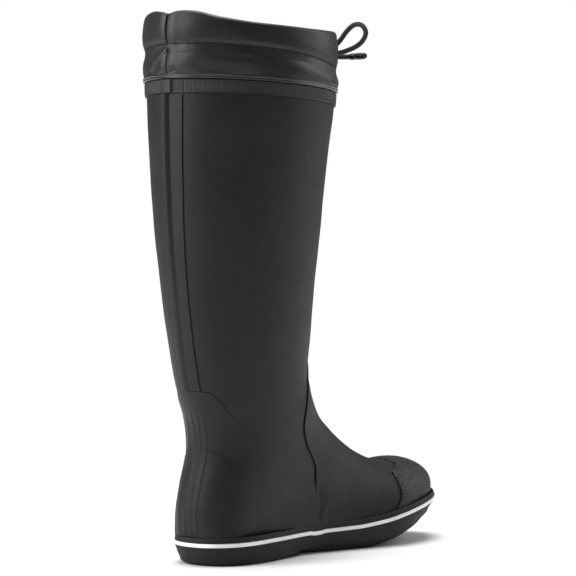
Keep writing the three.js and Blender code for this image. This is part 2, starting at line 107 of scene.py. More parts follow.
def smoothLine(points, steps=8, closed=False):
    line = []
    count = len(points)
    for i in range(count if closed else count - 1):
        if closed:
            four = [points[(i + s) % count] for s in (-1, 0, 1, 2)]
        else:
            four = [points[min(max(i + s, 0), count - 1)] for s in (-1, 0, 1, 2)]
        for step in range(steps):
            line.append(tuple(catmull(*column, step / steps) for column in zip(*four)))
    if not closed:
        line.append(tuple(points[-1]))
    return line


# Points at even distances along a line, with the line's length
def evenly(points, count, closed=False):
    line = [Vector(p) for p in points]
    if closed:
        line.append(line[0].copy())
    lengths = [0]
    for a, b in zip(line, line[1:]):
        lengths.append(lengths[-1] + (b - a).length)
    made, at = [], 0
    for i in range(count):
        target = lengths[-1] * i / (count if closed else count - 1)
        while at < len(line) - 2 and lengths[at + 1] < target:
            at += 1
        k = (target - lengths[at]) / max(lengths[at + 1] - lengths[at], 1e-9)
        made.append(line[at].lerp(line[at + 1], min(k, 1)))
    return made, lengths[-1]


# Halves the way between a value that passes the test and one that doesn't
def lastGood(test, good, bad, rounds=14):
    for _ in range(rounds):
        middle = (good + bad) / 2
        if test(middle):
            good = middle
        else:
            bad = middle
    return good, bad


def inside(outline, y, z):
    hit = False
    for (y1, z1), (y2, z2) in zip(outline, outline[1:] + outline[:1]):
        if (z1 > z) != (z2 > z) and y < (y2 - y1) * (z - z1) / (z2 - z1) + y1:
            hit = not hit
    return hit


def gaussian(x, width):
    return math.exp(-((x / width) ** 2))


def eased(x):
    x = min(max(x, 0), 1)
    return x * x * (3 - 2 * x)


# Diamonds, from 0 in the grooves to 1 on the points
def knurl(a, b, pitch):
    one = abs(((a + b) / pitch) % 1 - 0.5) * 2
    two = abs(((a - b) / pitch) % 1 - 0.5) * 2
    return min(one, two)


# A grid of faces whose vertices stand where place(u, w) puts them, with u and w from 0 to 1
def gridMesh(acrossCount, alongCount, place):
    bm = bmesh.new()
    bm.loops.layers.uv.new("UVMap")
    bmesh.ops.create_grid(bm, x_segments=acrossCount, y_segments=alongCount, size=0.5, calc_uvs=True)
    for vert in bm.verts:
        vert.co = metres(place(vert.co.x + 0.5, vert.co.y + 0.5))
    bmesh.ops.remove_doubles(bm, verts=bm.verts, dist=2e-6)
    return bm


def piece(name, bm, material, body="boot", nodes=()):
    mesh = bpy.data.meshes.new(name)
    bm.to_mesh(mesh)
    bm.free()
    mesh.polygons.foreach_set("use_smooth", [True] * len(mesh.polygons))
    mesh.materials.append(material)
    obj = bpy.data.objects.new(name, mesh)
    bpy.context.collection.objects.link(obj)
    if nodes:
        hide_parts(*nodes)
    if body:
        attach(obj, body)
    return obj


def walled(obj, wall, bevel=0.0, segments=2, offset=1.0):
    solid = obj.modifiers.new("wall", "SOLIDIFY")
    solid.thickness = wall * mm
    solid.offset = offset
    solid.use_even_offset = False
    if bevel:
        edge = obj.modifiers.new("edge", "BEVEL")
        edge.width = bevel * mm
        edge.segments = segments
        edge.limit_method = "ANGLE"
        edge.angle_limit = math.radians(55)
        edge.harden_normals = True
    return obj


# A round cord along a path; braid(turn, along) is added to its radius
def tubeMesh(path, radius, sides, steps, braid):
    line, length = evenly(path, steps + 1)
    tangents = []
    for i in range(steps + 1):
        tangents.append((line[min(i + 1, steps)] - line[max(i - 1, 0)]).normalized())
    normal = tangents[0].orthogonal().normalized()
    frames = []
    for i in range(steps + 1):
        normal = (normal - tangents[i] * normal.dot(tangents[i])).normalized()
        frames.append((normal.copy(), tangents[i].cross(normal)))

    def place(u, w):
        i = min(round(w * steps), steps)
        turn = u * 2 * math.pi
        one, two = frames[i]
        return line[i] + (one * math.cos(turn) + two * math.sin(turn)) * (radius + braid(turn, w * length))

    bm = gridMesh(sides, steps, place)
    bmesh.ops.holes_fill(bm, edges=[e for e in bm.edges if e.is_boundary], sides=0)
    bmesh.ops.recalc_face_normals(bm, faces=bm.faces)
    return bm, line, length


# A profile in mm turned about an axis, then moved to centre
def turnedMesh(profile, closed, axis, steps, centre):
    bm = bmesh.new()
    verts = [bm.verts.new(point) for point in profile]
    following = verts[1:] + verts[:1] if closed else verts[1:]
    edges = [bm.edges.new(pair) for pair in zip(verts, following)]
    bmesh.ops.spin(bm, geom=verts + edges, cent=(0, 0, 0), axis=axis, angle=2 * math.pi, steps=steps,
                   use_merge=True, use_duplicate=False)
    bmesh.ops.remove_doubles(bm, verts=bm.verts, dist=0.005)
    bmesh.ops.recalc_face_normals(bm, faces=bm.faces)
    for vert in bm.verts:
        vert.co = metres(vert.co + centre)
    return bm


def newMaterial(name, colour, roughness, metallic=0.0, coat=0.0, sheen=0.0, specular=0.5):
    mat = bpy.data.materials.new(name)
    mat.use_nodes = True
    bsdf = mat.node_tree.nodes["Principled BSDF"]
    bsdf.inputs["Base Color"].default_value = (*colour, 1)
    bsdf.inputs["Roughness"].default_value = roughness
    bsdf.inputs["Metallic"].default_value = metallic
    bsdf.inputs["Coat Weight"].default_value = coat
    bsdf.inputs["Coat Roughness"].default_value = 0.25
    bsdf.inputs["Sheen Weight"].default_value = sheen
    bsdf.inputs["Specular IOR Level"].default_value = specular
    return mat, mat.node_tree, bsdf


def node(tree, kind, **inputs):
    made = tree.nodes.new(kind)
    for key, value in inputs.items():
        key = key.replace("_", " ")
        if key in made.inputs:
            made.inputs[key].default_value = value
    return made


# Colour and gloss that vary over the surface
def mottle(tree, bsdf, where, colour, roughness, spread, scale, low, high):
    cloud = node(tree, "ShaderNodeTexNoise", Scale=scale, Detail=4.0, Roughness=0.6)
    tree.links.new(where, cloud.inputs["Vector"])
    ramp = tree.nodes.new("ShaderNodeValToRGB")
    ramp.color_ramp.elements[0].position, ramp.color_ramp.elements[1].position = 0.3, 0.7
    ramp.color_ramp.elements[0].color = (*[c * low for c in colour], 1)
    ramp.color_ramp.elements[1].color = (*[c * high for c in colour], 1)
    tree.links.new(cloud.outputs["Fac"], ramp.inputs["Fac"])
    tree.links.new(ramp.outputs["Color"], bsdf.inputs["Base Color"])
    rough = tree.nodes.new("ShaderNodeMapRange")
    rough.inputs["From Min"].default_value, rough.inputs["From Max"].default_value = 0.3, 0.7
    rough.inputs["To Min"].default_value = roughness - spread
    rough.inputs["To Max"].default_value = roughness + spread
    tree.links.new(cloud.outputs["Fac"], rough.inputs["Value"])
    tree.links.new(rough.outputs["Result"], bsdf.inputs["Roughness"])
    return ramp


# Heights are (socket, strength, distance), one bump after another
def bumps(tree, bsdf, heights):
    last = None
    for socket, strength, distance in heights:
        bump = node(tree, "ShaderNodeBump", Strength=strength, Distance=distance)
        tree.links.new(socket, bump.inputs["Height"])
        if last:
            tree.links.new(last.outputs["Normal"], bump.inputs["Normal"])
        last = bump
    tree.links.new(last.outputs["Normal"], bsdf.inputs["Normal"])


# Rubbed edges are a little lighter
def edgeWear(tree, bsdf, ramp, light, amount):
    geometry = tree.nodes.new("ShaderNodeNewGeometry")
    edge = tree.nodes.new("ShaderNodeMapRange")
    edge.inputs["From Min"].default_value, edge.inputs["From Max"].default_value = 0.53, 0.64
    edge.inputs["To Max"].default_value = amount
    tree.links.new(geometry.outputs["Pointiness"], edge.inputs["Value"])
    mix = tree.nodes.new("ShaderNodeMix")
    mix.data_type = "RGBA"
    tree.links.new(edge.outputs["Result"], mix.inputs[0])
    tree.links.new(ramp.outputs["Color"], mix.inputs[6])
    mix.inputs[7].default_value = (*light, 1)
    tree.links.new(mix.outputs[2], bsdf.inputs["Base Color"])


def rubber(name, colour, roughness, spread=0.05, grain=0.4, wear=0.35, coat=0.0, specular=0.35):
    mat, tree, bsdf = newMaterial(name, colour, roughness, coat=coat, specular=specular)
    where = tree.nodes.new("ShaderNodeTexCoord").outputs["Object"]
    ramp = mottle(tree, bsdf, where, colour, roughness, spread, scale=28, low=0.86, high=1.16)
    edgeWear(tree, bsdf, ramp, [c * 2.1 + 0.006 for c in colour], wear)
    fine = node(tree, "ShaderNodeTexNoise", Scale=1400, Detail=3.0, Roughness=0.55)
    tree.links.new(where, fine.inputs["Vector"])
    soft = node(tree, "ShaderNodeTexNoise", Scale=55, Detail=2.0, Roughness=0.5)
    tree.links.new(where, soft.inputs["Vector"])
    bumps(tree, bsdf, [(soft.outputs["Fac"], 0.16, 0.003), (fine.outputs["Fac"], grain, 0.0006)])
    return mat


wavePerThread = 0.314159  # a wave texture's scale for one band


# A weave on the piece's own UV map, with count threads each way
def wovenCloth(name, colour, roughness, count, strength, sheen=0.0, scale=30, specular=0.4):
    mat, tree, bsdf = newMaterial(name, colour, roughness, sheen=sheen, specular=specular)
    coords = tree.nodes.new("ShaderNodeTexCoord")
    mottle(tree, bsdf, coords.outputs["Object"], colour, roughness, 0.06, scale=scale, low=0.82, high=1.2)
    threads = []
    for direction, number in (("X", count[0]), ("Y", count[1])):
        wave = node(tree, "ShaderNodeTexWave", Scale=number * wavePerThread, Distortion=0.35, Detail=1.0)
        wave.bands_direction = direction
        wave.inputs["Detail Scale"].default_value = 2.0
        tree.links.new(coords.outputs["UV"], wave.inputs["Vector"])
        threads.append(wave.outputs["Fac"])
    weave = tree.nodes.new("ShaderNodeMath")
    weave.operation = "MULTIPLY"
    tree.links.new(threads[0], weave.inputs[0])
    tree.links.new(threads[1], weave.inputs[1])
    pebble = node(tree, "ShaderNodeTexNoise", Scale=900, Detail=2.0)
    tree.links.new(coords.outputs["Object"], pebble.inputs["Vector"])
    bumps(tree, bsdf, [(pebble.outputs["Fac"], strength * 0.6, 0.0003),
                       (weave.outputs["Value"], strength, 0.0003)])
    return mat


# Felted, knitted or foam surface on object coordinates
def fibre(name, colour, roughness, scale, strength, sheen=0.3):
    mat, tree, bsdf = newMaterial(name, colour, roughness, sheen=sheen)
    where = tree.nodes.new("ShaderNodeTexCoord").outputs["Object"]
    mottle(tree, bsdf, where, colour, roughness, 0.05, scale=60, low=0.8, high=1.2)
    loops = node(tree, "ShaderNodeTexVoronoi", Scale=scale)
    tree.links.new(where, loops.inputs["Vector"])
    fuzz = node(tree, "ShaderNodeTexNoise", Scale=scale * 2.2, Detail=3.0)
    tree.links.new(where, fuzz.inputs["Vector"])
    bumps(tree, bsdf, [(loops.outputs["Distance"], strength, 0.0006),
                       (fuzz.outputs["Fac"], strength * 0.6, 0.0003)])
    return mat


# A plain finish for the small pieces
def plain(name, colour, roughness, scale, low, metallic=0.0, sheen=0.0):
    mat, tree, bsdf = newMaterial(name, colour, roughness, metallic=metallic, sheen=sheen)
    where = tree.nodes.new("ShaderNodeTexCoord").outputs["Object"]
    mottle(tree, bsdf, where, colour, roughness, 0.08, scale=scale, low=low, high=1.3)
    return mat


matte = rubber("upperRubber", (0.0088, 0.0088, 0.0092), 0.5, specular=0.26)
glossy = rubber("pipingRubber", (0.012, 0.012, 0.0125), 0.3, spread=0.04, grain=0.06, wear=0.3, coat=0.25)
tread = rubber("soleRubber", (0.0085, 0.0085, 0.009), 0.6, grain=0.3, wear=0.4, specular=0.26)
knurled = rubber("knurledRubber", (0.0088, 0.0088, 0.0092), 0.46, grain=0.08, wear=0.9, specular=0.34)
white = rubber("stripeRubber", (0.8, 0.8, 0.785), 0.42, grain=0.1, wear=0.0)
stiffener = rubber("stiffenerBoard", (0.06, 0.06, 0.062), 0.6, grain=0.4, wear=0.1)
gaiterCloth = wovenCloth("gaiterCloth", (0.009, 0.009, 0.0095), 0.42, (1500, 170), 0.1, specular=0.36)
cordBraid = wovenCloth("cordBraid", (0.011, 0.011, 0.0115), 0.72, (8, 60), 0.1, sheen=0.2, scale=300)
liningKnit = fibre("liningKnit", (0.075, 0.078, 0.084), 0.92, 900, 0.5)
footbedFelt = fibre("footbedFelt", (0.045, 0.048, 0.054), 0.9, 1100, 0.45)
boardFibre = fibre("boardFibre", (0.26, 0.21, 0.14), 0.9, 500, 0.3, sheen=0.0)
soleFoam = fibre("soleFoam", (0.05, 0.05, 0.052), 0.85, 700, 0.3, sheen=0.0)
threadBlack = plain("stitchThread", (0.01, 0.01, 0.011), 0.7, scale=900, low=0.7, sheen=0.2)
eyeletMetal = plain("eyeletMetal", (0.05, 0.05, 0.052), 0.32, scale=400, low=0.8, metallic=0.8)
tipPlastic = rubber("tipPlastic", (0.016, 0.016, 0.017), 0.28, spread=0.04, grain=0.04, wear=0.2)
print("materials made")

boot = {
    "leg": 371, "rimFall": 8, "rimDepth": 160.5, "rimHalf": 67, "overhang": 20.5,
    "ankle": 146, "ankleBack": -1.5, "ankleFront": 120, "ankleHalf": 43.5,
    "backBend": 2.4, "frontBend": 1.25, "sideBend": 0.88,  # how suddenly the leg widens
    "gap": 0.3, "overlay": 1.0, "rubberWall": 1.6, "liningWall": 2.2, "floorDown": 4,
}
legShares = [1.3, 1, 0.78, 0.56, 0.36, 0.17]  # heights over the ankle; the first is above the rim
footRows = [
    # back y, z, front y, z, inner, outer, squareness, widest, shift
    (-1.5, 146, 120, 146, 43.5, 43.5, 2, 0.5, 0),
    (4, 126, 122.8, 133, 42, 42, 2, 0.5, 0),
    (11, 106, 128.6, 121.6, 39.5, 39.5, 2.1, 0.5, 0),
    (12, 82, 136.6, 112, 36.5, 37, 2.2, 0.48, 0),
    (6, 60, 145.2, 104.6, 35, 35.5, 2.3, 0.45, 0),
    (2, 39, 154, 98.4, 33.5, 34.5, 2.5, 0.42, 0),
    (5.5, 19, 161.8, 93.2, 32, 34, 3.2, 0.38, 0),
    (18, 12.6, 168.8, 88.6, 30, 34, 4.5, 0.35, 0),
    (60, 13, 178.8, 82.2, 28, 35, 5, 0.31, 0),
    (112, 13.4, 191.5, 75, 28.5, 38, 5, 0.3, 0),
    (160, 14.8, 209.5, 67.8, 34, 43.5, 5, 0.3, 0),
    (200, 19, 228.5, 65.6, 40.5, 46, 5, 0.34, 0),
    (230, 24.6, 248, 66.2, 37.5, 42.5, 4.5, 0.38, -1),
    (252, 28, 265.5, 60.4, 29.5, 33, 3.5, 0.42, -1),
    (268, 31, 276.5, 49.2, 16, 19, 2.5, 0.5, -2),
]
toePole = Vector((-2, 280, 39))


def legRow(share):
    spread = min(share, 1)
    lean = (boot["overhang"] + boot["ankleBack"]) * (1 - (1 - spread) ** boot["backBend"])
    deeper = (boot["rimDepth"] - boot["overhang"] - boot["ankleFront"]) * spread ** boot["frontBend"]
    half = boot["ankleHalf"] + (boot["rimHalf"] - boot["ankleHalf"]) * spread ** boot["sideBend"]
    height = boot["ankle"] + (boot["leg"] - boot["ankle"]) * share
    square, widest, shift = 2, 0.5, 0
    return (boot["ankleBack"] - lean, height, boot["ankleFront"] + deeper, height - boot["rimFall"] * spread,
            half, half, square, widest, shift)


# A place on the boot is t, counted in rows down from the top, and turn, round from the front
rows = [legRow(share) for share in legShares] + footRows
ankleRow = len(legShares)
toeEnd = len(rows) - 1
sections = {}


def section(t):
    key = round(t, 5)
    if key not in sections:
        i = min(int(t), toeEnd - 1)
        four = [rows[min(max(i + step, 0), toeEnd)] for step in (-1, 0, 1, 2)]
        if i == 0:  # the gaiter stands straight above the rim
            sections[key] = tuple(a + (b - a) * t for a, b in zip(rows[0], rows[1]))
        else:
            sections[key] = tuple(catmull(*column, t - i) for column in zip(*four))
    return sections[key]


def surface(t, turn):
    over = max(t - toeEnd, 0)
    backY, backZ, frontY, frontZ, inner, outer, square, widest, shift = section(t - over)
    middleY, middleZ = backY + (frontY - backY) * widest, backZ + (frontZ - backZ) * widest
    toFront, toSide = math.cos(turn), math.sin(turn)
    power = 2 if toFront > 0 else square
    reach = (abs(toFront) ** power + abs(toSide) ** power) ** (-1 / power)
    half = inner if toSide > 0 else outer
    if toFront > 0:
        endY, endZ = frontY - middleY, frontZ - middleZ
    else:
        endY, endZ = middleY - backY, middleZ - backZ
    along = toFront * reach
    point = Vector((shift + half * toSide * reach, middleY + endY * along, middleZ + endZ * along))
    if over:
        angle = min(over, 1) * math.pi / 2
        shrink, forward = math.cos(angle), math.sin(angle)
        point = Vector((
            toePole.x + (point.x - toePole.x) * shrink,
            point.y + (toePole.y - point.y) * forward,
            toePole.z + (point.z - toePole.z) * shrink,
        ))
    return point


def lifted(t, turn, lift):
    step = 0.02
    down = surface(t + step, turn) - surface(max(t - step, 0), turn)
    around = surface(t, turn + step) - surface(t, turn - step)
    return surface(t, turn) + around.cross(down).normalized() * lift


# Where the back of the boot has this height
def rowAt(height):
    above, below = lastGood(lambda t: section(t)[1] > height, 0.0, ankleRow + 1.0, 30)
    return (above + below) / 2


soleRows = [
    # y, underside, middle of the stripe
    (0, 0, 16.2), (25, 0, 16.6), (60, 0, 17.2), (104, 0, 17.4), (160, 0, 18.6), (172, 0, 19.7),
    (190, 2.6, 21.9), (210, 7, 25.6), (230, 11.2, 29.2), (255, 16.5, 32.6), (284, 23, 34.5),
]


def underside(y):
    return max(0, valueAt(soleRows, y, 1))


def stripeMiddle(y):
    return valueAt(soleRows, y, 2)


# Where the overlays end behind the foxing: degrees round from the front, and mm below the stripe
behindFoxing = {"fromRow": 7, "least": 60, "most": 118, "down": 3}
sideTurns = {}


def aboveFoxing(point):
    return point.z > stripeMiddle(point.y) - behindFoxing["down"]


# How far round the section the surface goes down behind the foxing
def foxingTurn(side, t):
    key = (side, round(t, 3))
    if key not in sideTurns:
        def hidden(turn):
            point = surface(t, side * turn)
            return point.z < stripeMiddle(point.y) - behindFoxing["down"]

        limit = math.radians(behindFoxing["most"])
        if t > behindFoxing["fromRow"] and hidden(limit):
            limit = lastGood(hidden, limit, math.radians(behindFoxing["least"]), 18)[0]
        sideTurns[key] = limit
    return sideTurns[key]


# First and last t of a column that lie in the region
def span(test, turnOf, u, start, stop):
    step = 0.06
    first = last = None
    t = start
    while t <= stop:
        if test(surface(t, turnOf(u, t))):
            first = t if first is None else first
            last = t
        elif first is not None:
            break
        t += step
    if first is None:
        return None

    def between(out, into):
        return lastGood(lambda middle: test(surface(middle, turnOf(u, middle))), into, out)[0]

    top = first if first == start else between(first - step, first)
    bottom = last if last + step > stop else between(last + step, last)
    return top, bottom


# A patch of the surface: limits are the ends of u, and the edges follow the region
def overlay(acrossCount, alongCount, test, turnOf, limits, start, stop, liftOf):
    def reaches(across):
        return span(test, turnOf, across, start, stop)

    ends = [edge if reaches(edge) else lastGood(reaches, 0.0, edge)[0] for edge in limits]
    spans = {}

    def place(u, w):
        across = ends[0] + (ends[1] - ends[0]) * u
        if u not in spans:
            spans[u] = reaches(across)
        top, bottom = spans[u]
        t = top + (bottom - top) * w
        turn = turnOf(across, t)
        return lifted(t, turn, liftOf(t, turn, surface(t, turn)))

    return gridMesh(acrossCount, alongCount, place)


# Points of the tied cord, in mm: the lead from the eyelet, the others from the knot's middle
drawcord = {
    "radius": 2.0, "sides": 24, "step": 0.6, "droop": 0.06,
    "braidPitch": 5.2, "braidHeight": 0.13, "braidMiddle": 1.1, "strands": 8,
    "lead": [(9, -4.7, -1), (9, -1, -1), (9, 2.4, -1), (8.2, 4.6, -0.7)],
    "intoKnot": [(5.8, -9.4, -0.2), (4.2, -6.4, -0.6), (0.6, -2.6, -1.4), (-4.4, 1.2, -1.7)],
    "loop": [
        (8.4, 2.4, -1.2), (14.4, 2.6, -0.8), (23, 2.8, 0.8), (33, 2.6, 3.8), (40.4, 2.2, 8.4),
        (43.4, 1.8, 14.6), (39.4, 1.4, 20.2), (31.6, 1.2, 20.8), (24.2, 1, 16.2), (18.2, 0.7, 10),
        (13.4, 0.3, 5.8), (8.7, 0, 4.1),
    ],
    "backThrough": [(-4, -0.8, 4.4), (0.6, -1.8, 4.2), (4.6, -2.2, 0.6)],
    "tail": [(8.4, -2.2, -3.6), (15, -2.6, -4), (22, -2.4, -4.5), (30.2, -2.2, -4.8)],
    "tipAt": (30.3, -2.2, -4.8),
    # radius, along
    "tip": [(0, 0), (2.25, 0), (2.5, 0.5), (2.62, 1.6), (2.62, 5.2), (2.35, 5.7), (2.35, 6.5), (2.62, 7),
            (2.7, 8.5), (2.7, 13.2), (2.5, 15.2), (1.8, 16.5), (0.9, 17), (0, 17)],
}
eyelet = {
    "flange": 1.2, "steps": 48,
    # radius, along
    "profile": [(2.65, -1.4), (3.1, -1.7), (3.3, -1.2), (3.3, 0.25), (4.5, 0.3), (4.9, 0.6), (4.8, 1.1),
                (4.1, 1.35), (3.2, 1.25), (2.65, 0.8)],
}


def boxMiddle(name):
    low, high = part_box(name)
    middle = (low + high) / 2
    return Vector((middle.x / mm, (middle.y - heelBack) / mm, middle.z / mm))


knotMm = boxMiddle("cord_knot")
eyeletCentres = []
for eyeletName in ("eyelet_inner", "eyelet_outer"):
    eyeletCentre = boxMiddle(eyeletName)
    eyeletCentre.y = (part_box(eyeletName)[0].y - heelBack) / mm + eyelet["flange"]
    eyeletCentres.append(eyeletCentre)


def inBow(side, point):
    drop = -point[0] * drawcord["droop"] if side < 0 else 0
    return Vector((side * point[0], knotMm.y + point[1], knotMm.z + point[2] + drop))


def braided(s):
    def height(turn, along):
        a = s["strands"] / 2 * turn / math.pi
        b = along / s["braidPitch"] * s["strands"] / 2
        crossed = abs(math.sin((a + b) * math.pi / 2)) + abs(math.sin((a - b) * math.pi / 2))
        return s["braidHeight"] * (crossed - s["braidMiddle"])
    return height


def makeDrawcord(s):
    made = []
    eyeletBack = eyeletCentres[0].y - knotMm.y
    for name, side in (("a", 1), ("b", -1)):
        route = [inBow(side, (x, eyeletBack + y, z)) for x, y, z in s["lead"]]
        route += [inBow(side, p) for p in s["intoKnot"]]
        route += [inBow(-side, p) for p in s["loop"]]
        route += [inBow(side, p) for p in s["backThrough"]]
        route += [inBow(side, p) for p in s["tail"]]
        smooth = smoothLine([tuple(p) for p in route], steps=10)
        _, length = evenly(smooth, 2)
        steps = int(length / s["step"])
        bm, line, length = tubeMesh(smooth, s["radius"], s["sides"], steps, braided(s))
        cord = piece("drawcord_end_" + name, bm, cordBraid, body=None,
                     nodes=[f"cord_{name}_lead", f"cord_{name}_loop", f"cord_{name}_tail"])
        made.append((cord, name, line, length))
    return made


def makeTips(s):
    tips = []
    for name, side in (("a", 1), ("b", -1)):
        profile = [(along * side, radius, 0) for radius, along in s["tip"]]
        bm = turnedMesh(profile, False, (1, 0, 0), 32, inBow(side, s["tipAt"]))
        tip = piece("drawcord_tip_" + name, bm, tipPlastic, "cord_ends", [f"cord_tip_{name}"])
        tips.append(tip)
    return tips


knot = {
    "wrapRadius": 5.3, "halfWidth": 3.6, "turns": 2.2, "startTurn": -2.2, "points": 90,
    "core": 2, "tuckShare": 0.07, "thicker": 1.05, "step": 0.7,
}


def makeKnot(s, cord):
    path = []
    for i in range(s["points"] + 1):
        k = i / s["points"]
        angle = s["startTurn"] + k * s["turns"] * 2 * math.pi
        tuck = eased(min(k, 1 - k) / s["tuckShare"])
        radius = s["core"] + (s["wrapRadius"] - s["core"]) * tuck
        path.append((knotMm.x + s["halfWidth"] * (2 * k - 1), knotMm.y + radius * math.cos(angle),
                     knotMm.z + radius * math.sin(angle)))
    steps = int(s["turns"] * 2 * math.pi * s["wrapRadius"] / s["step"])
    bm, _, _ = tubeMesh(path, cord["radius"] * s["thicker"], cord["sides"], steps, braided(cord))
    piece("drawcord_knot", bm, cordBraid, "cord_ends", ["cord_knot"])


makeKnot(knot, drawcord)
tipPieces = makeTips(drawcord)
for (cordPiece, cordName, cordLine, cordLength), tipPiece in zip(makeDrawcord(drawcord), tipPieces):
    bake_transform(cordPiece)
    print("drawcord end", cordName, round(cordLength), "mm")

upper = {"around": 150, "along": 210, "dent": 0.5, "wideDents": 0.018, "smallDents": 0.045}
flare = {"least": 0.35, "arch": 0.9, "archAt": 88, "archWide": 34, "toe": 0.9, "toeFrom": 225, "toeOver": 45,
         "above": 4, "fade": 10}


# Slow unevenness of a hand-laid boot
def softDent(point):
    wide = noise.noise(point * upper["wideDents"])
    small = noise.noise(point * upper["smallDents"] + Vector((9, 4, 1)))
    return upper["dent"] * (wide + 0.5 * small)


# The upper swells out to meet the foxing, most of all at the toe and the arch
def footFlare(p):
    arch = flare["arch"] * gaussian(p.y - flare["archAt"], flare["archWide"])
    toe = flare["toe"] * eased((p.y - flare["toeFrom"]) / flare["toeOver"])
    swell = flare["least"] + arch + toe
    above = p.z - stripeMiddle(p.y) - flare["above"]
    return swell * eased(1 - above / flare["fade"])


def makeUpper(s):
    top, end = rowAt(boot["leg"]), toeEnd + 1.0

    def place(u, w):
        t = top + (end - top) * w
        turn = u * 2 * math.pi
        point = surface(t, turn)
        fade = eased((t - top) / 0.5) * eased(toeEnd - t)
        swell = footFlare(point) if t > ankleRow - 1 else 0
        return lifted(min(t, toeEnd + 0.97), turn, softDent(point) * fade + swell)

    bm = gridMesh(s["around"], s["along"], place)
    bmesh.ops.holes_fill(bm, edges=[e for e in bm.edges if e.is_boundary and e.verts[0].co.z < 0.1], sides=0)
    obj = piece("leg_and_foot_rubber", bm, matte, nodes=["leg_rubber", "foot_rubber"])
    return walled(obj, boot["rubberWall"], offset=-1)


makeUpper(upper)
print("upper made")


# Height of the floor inside the rubber
def rubberFloor(y):
    return stripeMiddle(y) - boot["floorDown"] + boot["rubberWall"] + boot["gap"]


lining = {"around": 96, "along": 110, "raised": 2.6, "toeRows": 0.9, "toeShort": 4, "slack": 0.2}


def makeLining(s):
    top, end = rowAt(boot["leg"] - boot["gap"]), toeEnd + s["toeRows"]
    depth = -(boot["rubberWall"] + boot["gap"])

    def place(u, w):
        t = top + (end - top) * w
        point = lifted(min(t, toeEnd), u * 2 * math.pi, depth)
        floor = rubberFloor(point.y) + s["raised"]
        if t > toeEnd:
            middle = Vector((toePole.x, toePole.y - s["toeShort"], max(toePole.z, floor)))
            point = point.lerp(middle, (t - toeEnd) / s["toeRows"])
        if t > ankleRow - 1:
            point.z = max(point.z, floor)
        return point

    bm = gridMesh(s["around"], s["along"], place)
    obj = piece("boot_lining", bm, liningKnit, nodes=["leg_lining", "foot_lining"])
    walled(obj, boot["liningWall"] - s["slack"], offset=-1)
    return obj


makeLining(lining)
print("lining made")

# Edges seen from the side, as (y, z); the far numbers lie past the boot
seamLine = smoothLine([(113, 154), (103.5, 137), (96, 117), (95, 102), (102, 87), (113.5, 74), (117.5, 60),
                       (118, 10)])
capLobe = [(229, 90), (229, 66), (229, 63), (221, 60.5), (213.5, 58)]
capSide = smoothLine([(213.5, 58), (211.5, 52), (210, 44), (206.5, 36), (200, 28), (190, 12)])
capLine = capLobe + capSide[1:]
counterLine = smoothLine([(3, 134), (8.5, 131.5), (17.5, 120), (36, 97), (50, 68), (58, 38), (60, 12)])
patchLine = smoothLine([(9, 91), (15, 87), (23, 78), (36, 58), (45, 36), (47, 12)])
seamRegion = seamLine + [(118, -60), (400, -60), (400, 400), (114, 400)]
underCap = [(y - 0.9, z) for y, z in reversed(capLine)]
vampRegion = [(-80, -60), (200, -60)] + underCap + [(228.45, 400), (-80, 400)]
capOutline = [(y + 0.55, z) for y, z in capLine] + [(400, -20), (400, 90)]
counterOutline = [(-80, 134)] + counterLine + [(-80, -20)]
patchOutline = [(-80, 91)] + patchLine + [(-80, -20)]


def frontTurn(u, t):
    side = 1 if u >= 0 else -1
    return side * abs(u) * foxingTurn(side, t)


vampEdges = {}


# Where the section at t runs into the vamp's seam or behind the foxing
def vampTurn(side, t):
    key = (side, round(t, 3))
    if key not in vampEdges:
        def clear(turn):
            point = surface(t, side * turn)
            return inside(seamRegion, point.y, point.z)

        limit = foxingTurn(side, t)
        tries = [limit * step / 60 for step in range(60)]
        for before, turn in zip(tries, tries[1:]):
            if not clear(turn):
                limit = lastGood(clear, before, turn)[0]
                break
        vampEdges[key] = limit
    return vampEdges[key]


def backTurn(u, t):
    return math.pi + u


vamp = {
    "across": 150, "along": 150, "edge": 0.35, "wall": 0.8, "peak": 152, "firstRow": 10.0,
    # the seam's edge lies lower towards the foxing, and the end dips under the toe cap
    "sink": 1.3, "sinkShare": 0.14, "sinkFrom": 122, "sinkOver": 16, "fadeLow": 44, "fadeHigh": 60,
    "endSink": 0.7, "endFrom": 0.95, "endShare": 0.05,
}
toeCap = {
    "across": 240, "along": 124, "rows": (13, toeEnd + 0.8), "edge": 0.3, "wall": 1.1,
    "pitch": 2.3, "height": 0.8, "calmFrom": 3, "calmOver": 4, "centre": (-2, 238, 30), "radius": 38,
}
counter = {
    "across": 190, "along": 120, "rows": (5, 13), "reach": 1.9, "edge": 0.3, "wall": 0.8, "down": 0.1,
    "ridges": [-21, -12.5, -5, 1, 6.5], "ridgeHeight": 0.55, "ridgeWidth": 0.85,
    "ridgeTop": 122, "ridgeTopFade": 14, "ridgeFoot": 12, "ridgeFootFade": 6,
    "sink": 1.15, "sinkFrom": 30, "sinkOver": 22,
}
patch = {
    "across": 150, "along": 80, "rows": (6.5, 13), "reach": 1.8, "edge": 0.2, "wall": 0.5, "down": 0.05,
    "ridgeShare": 0.9, "sink": 0.75, "sinkFrom": 20, "sinkOver": 20,
}


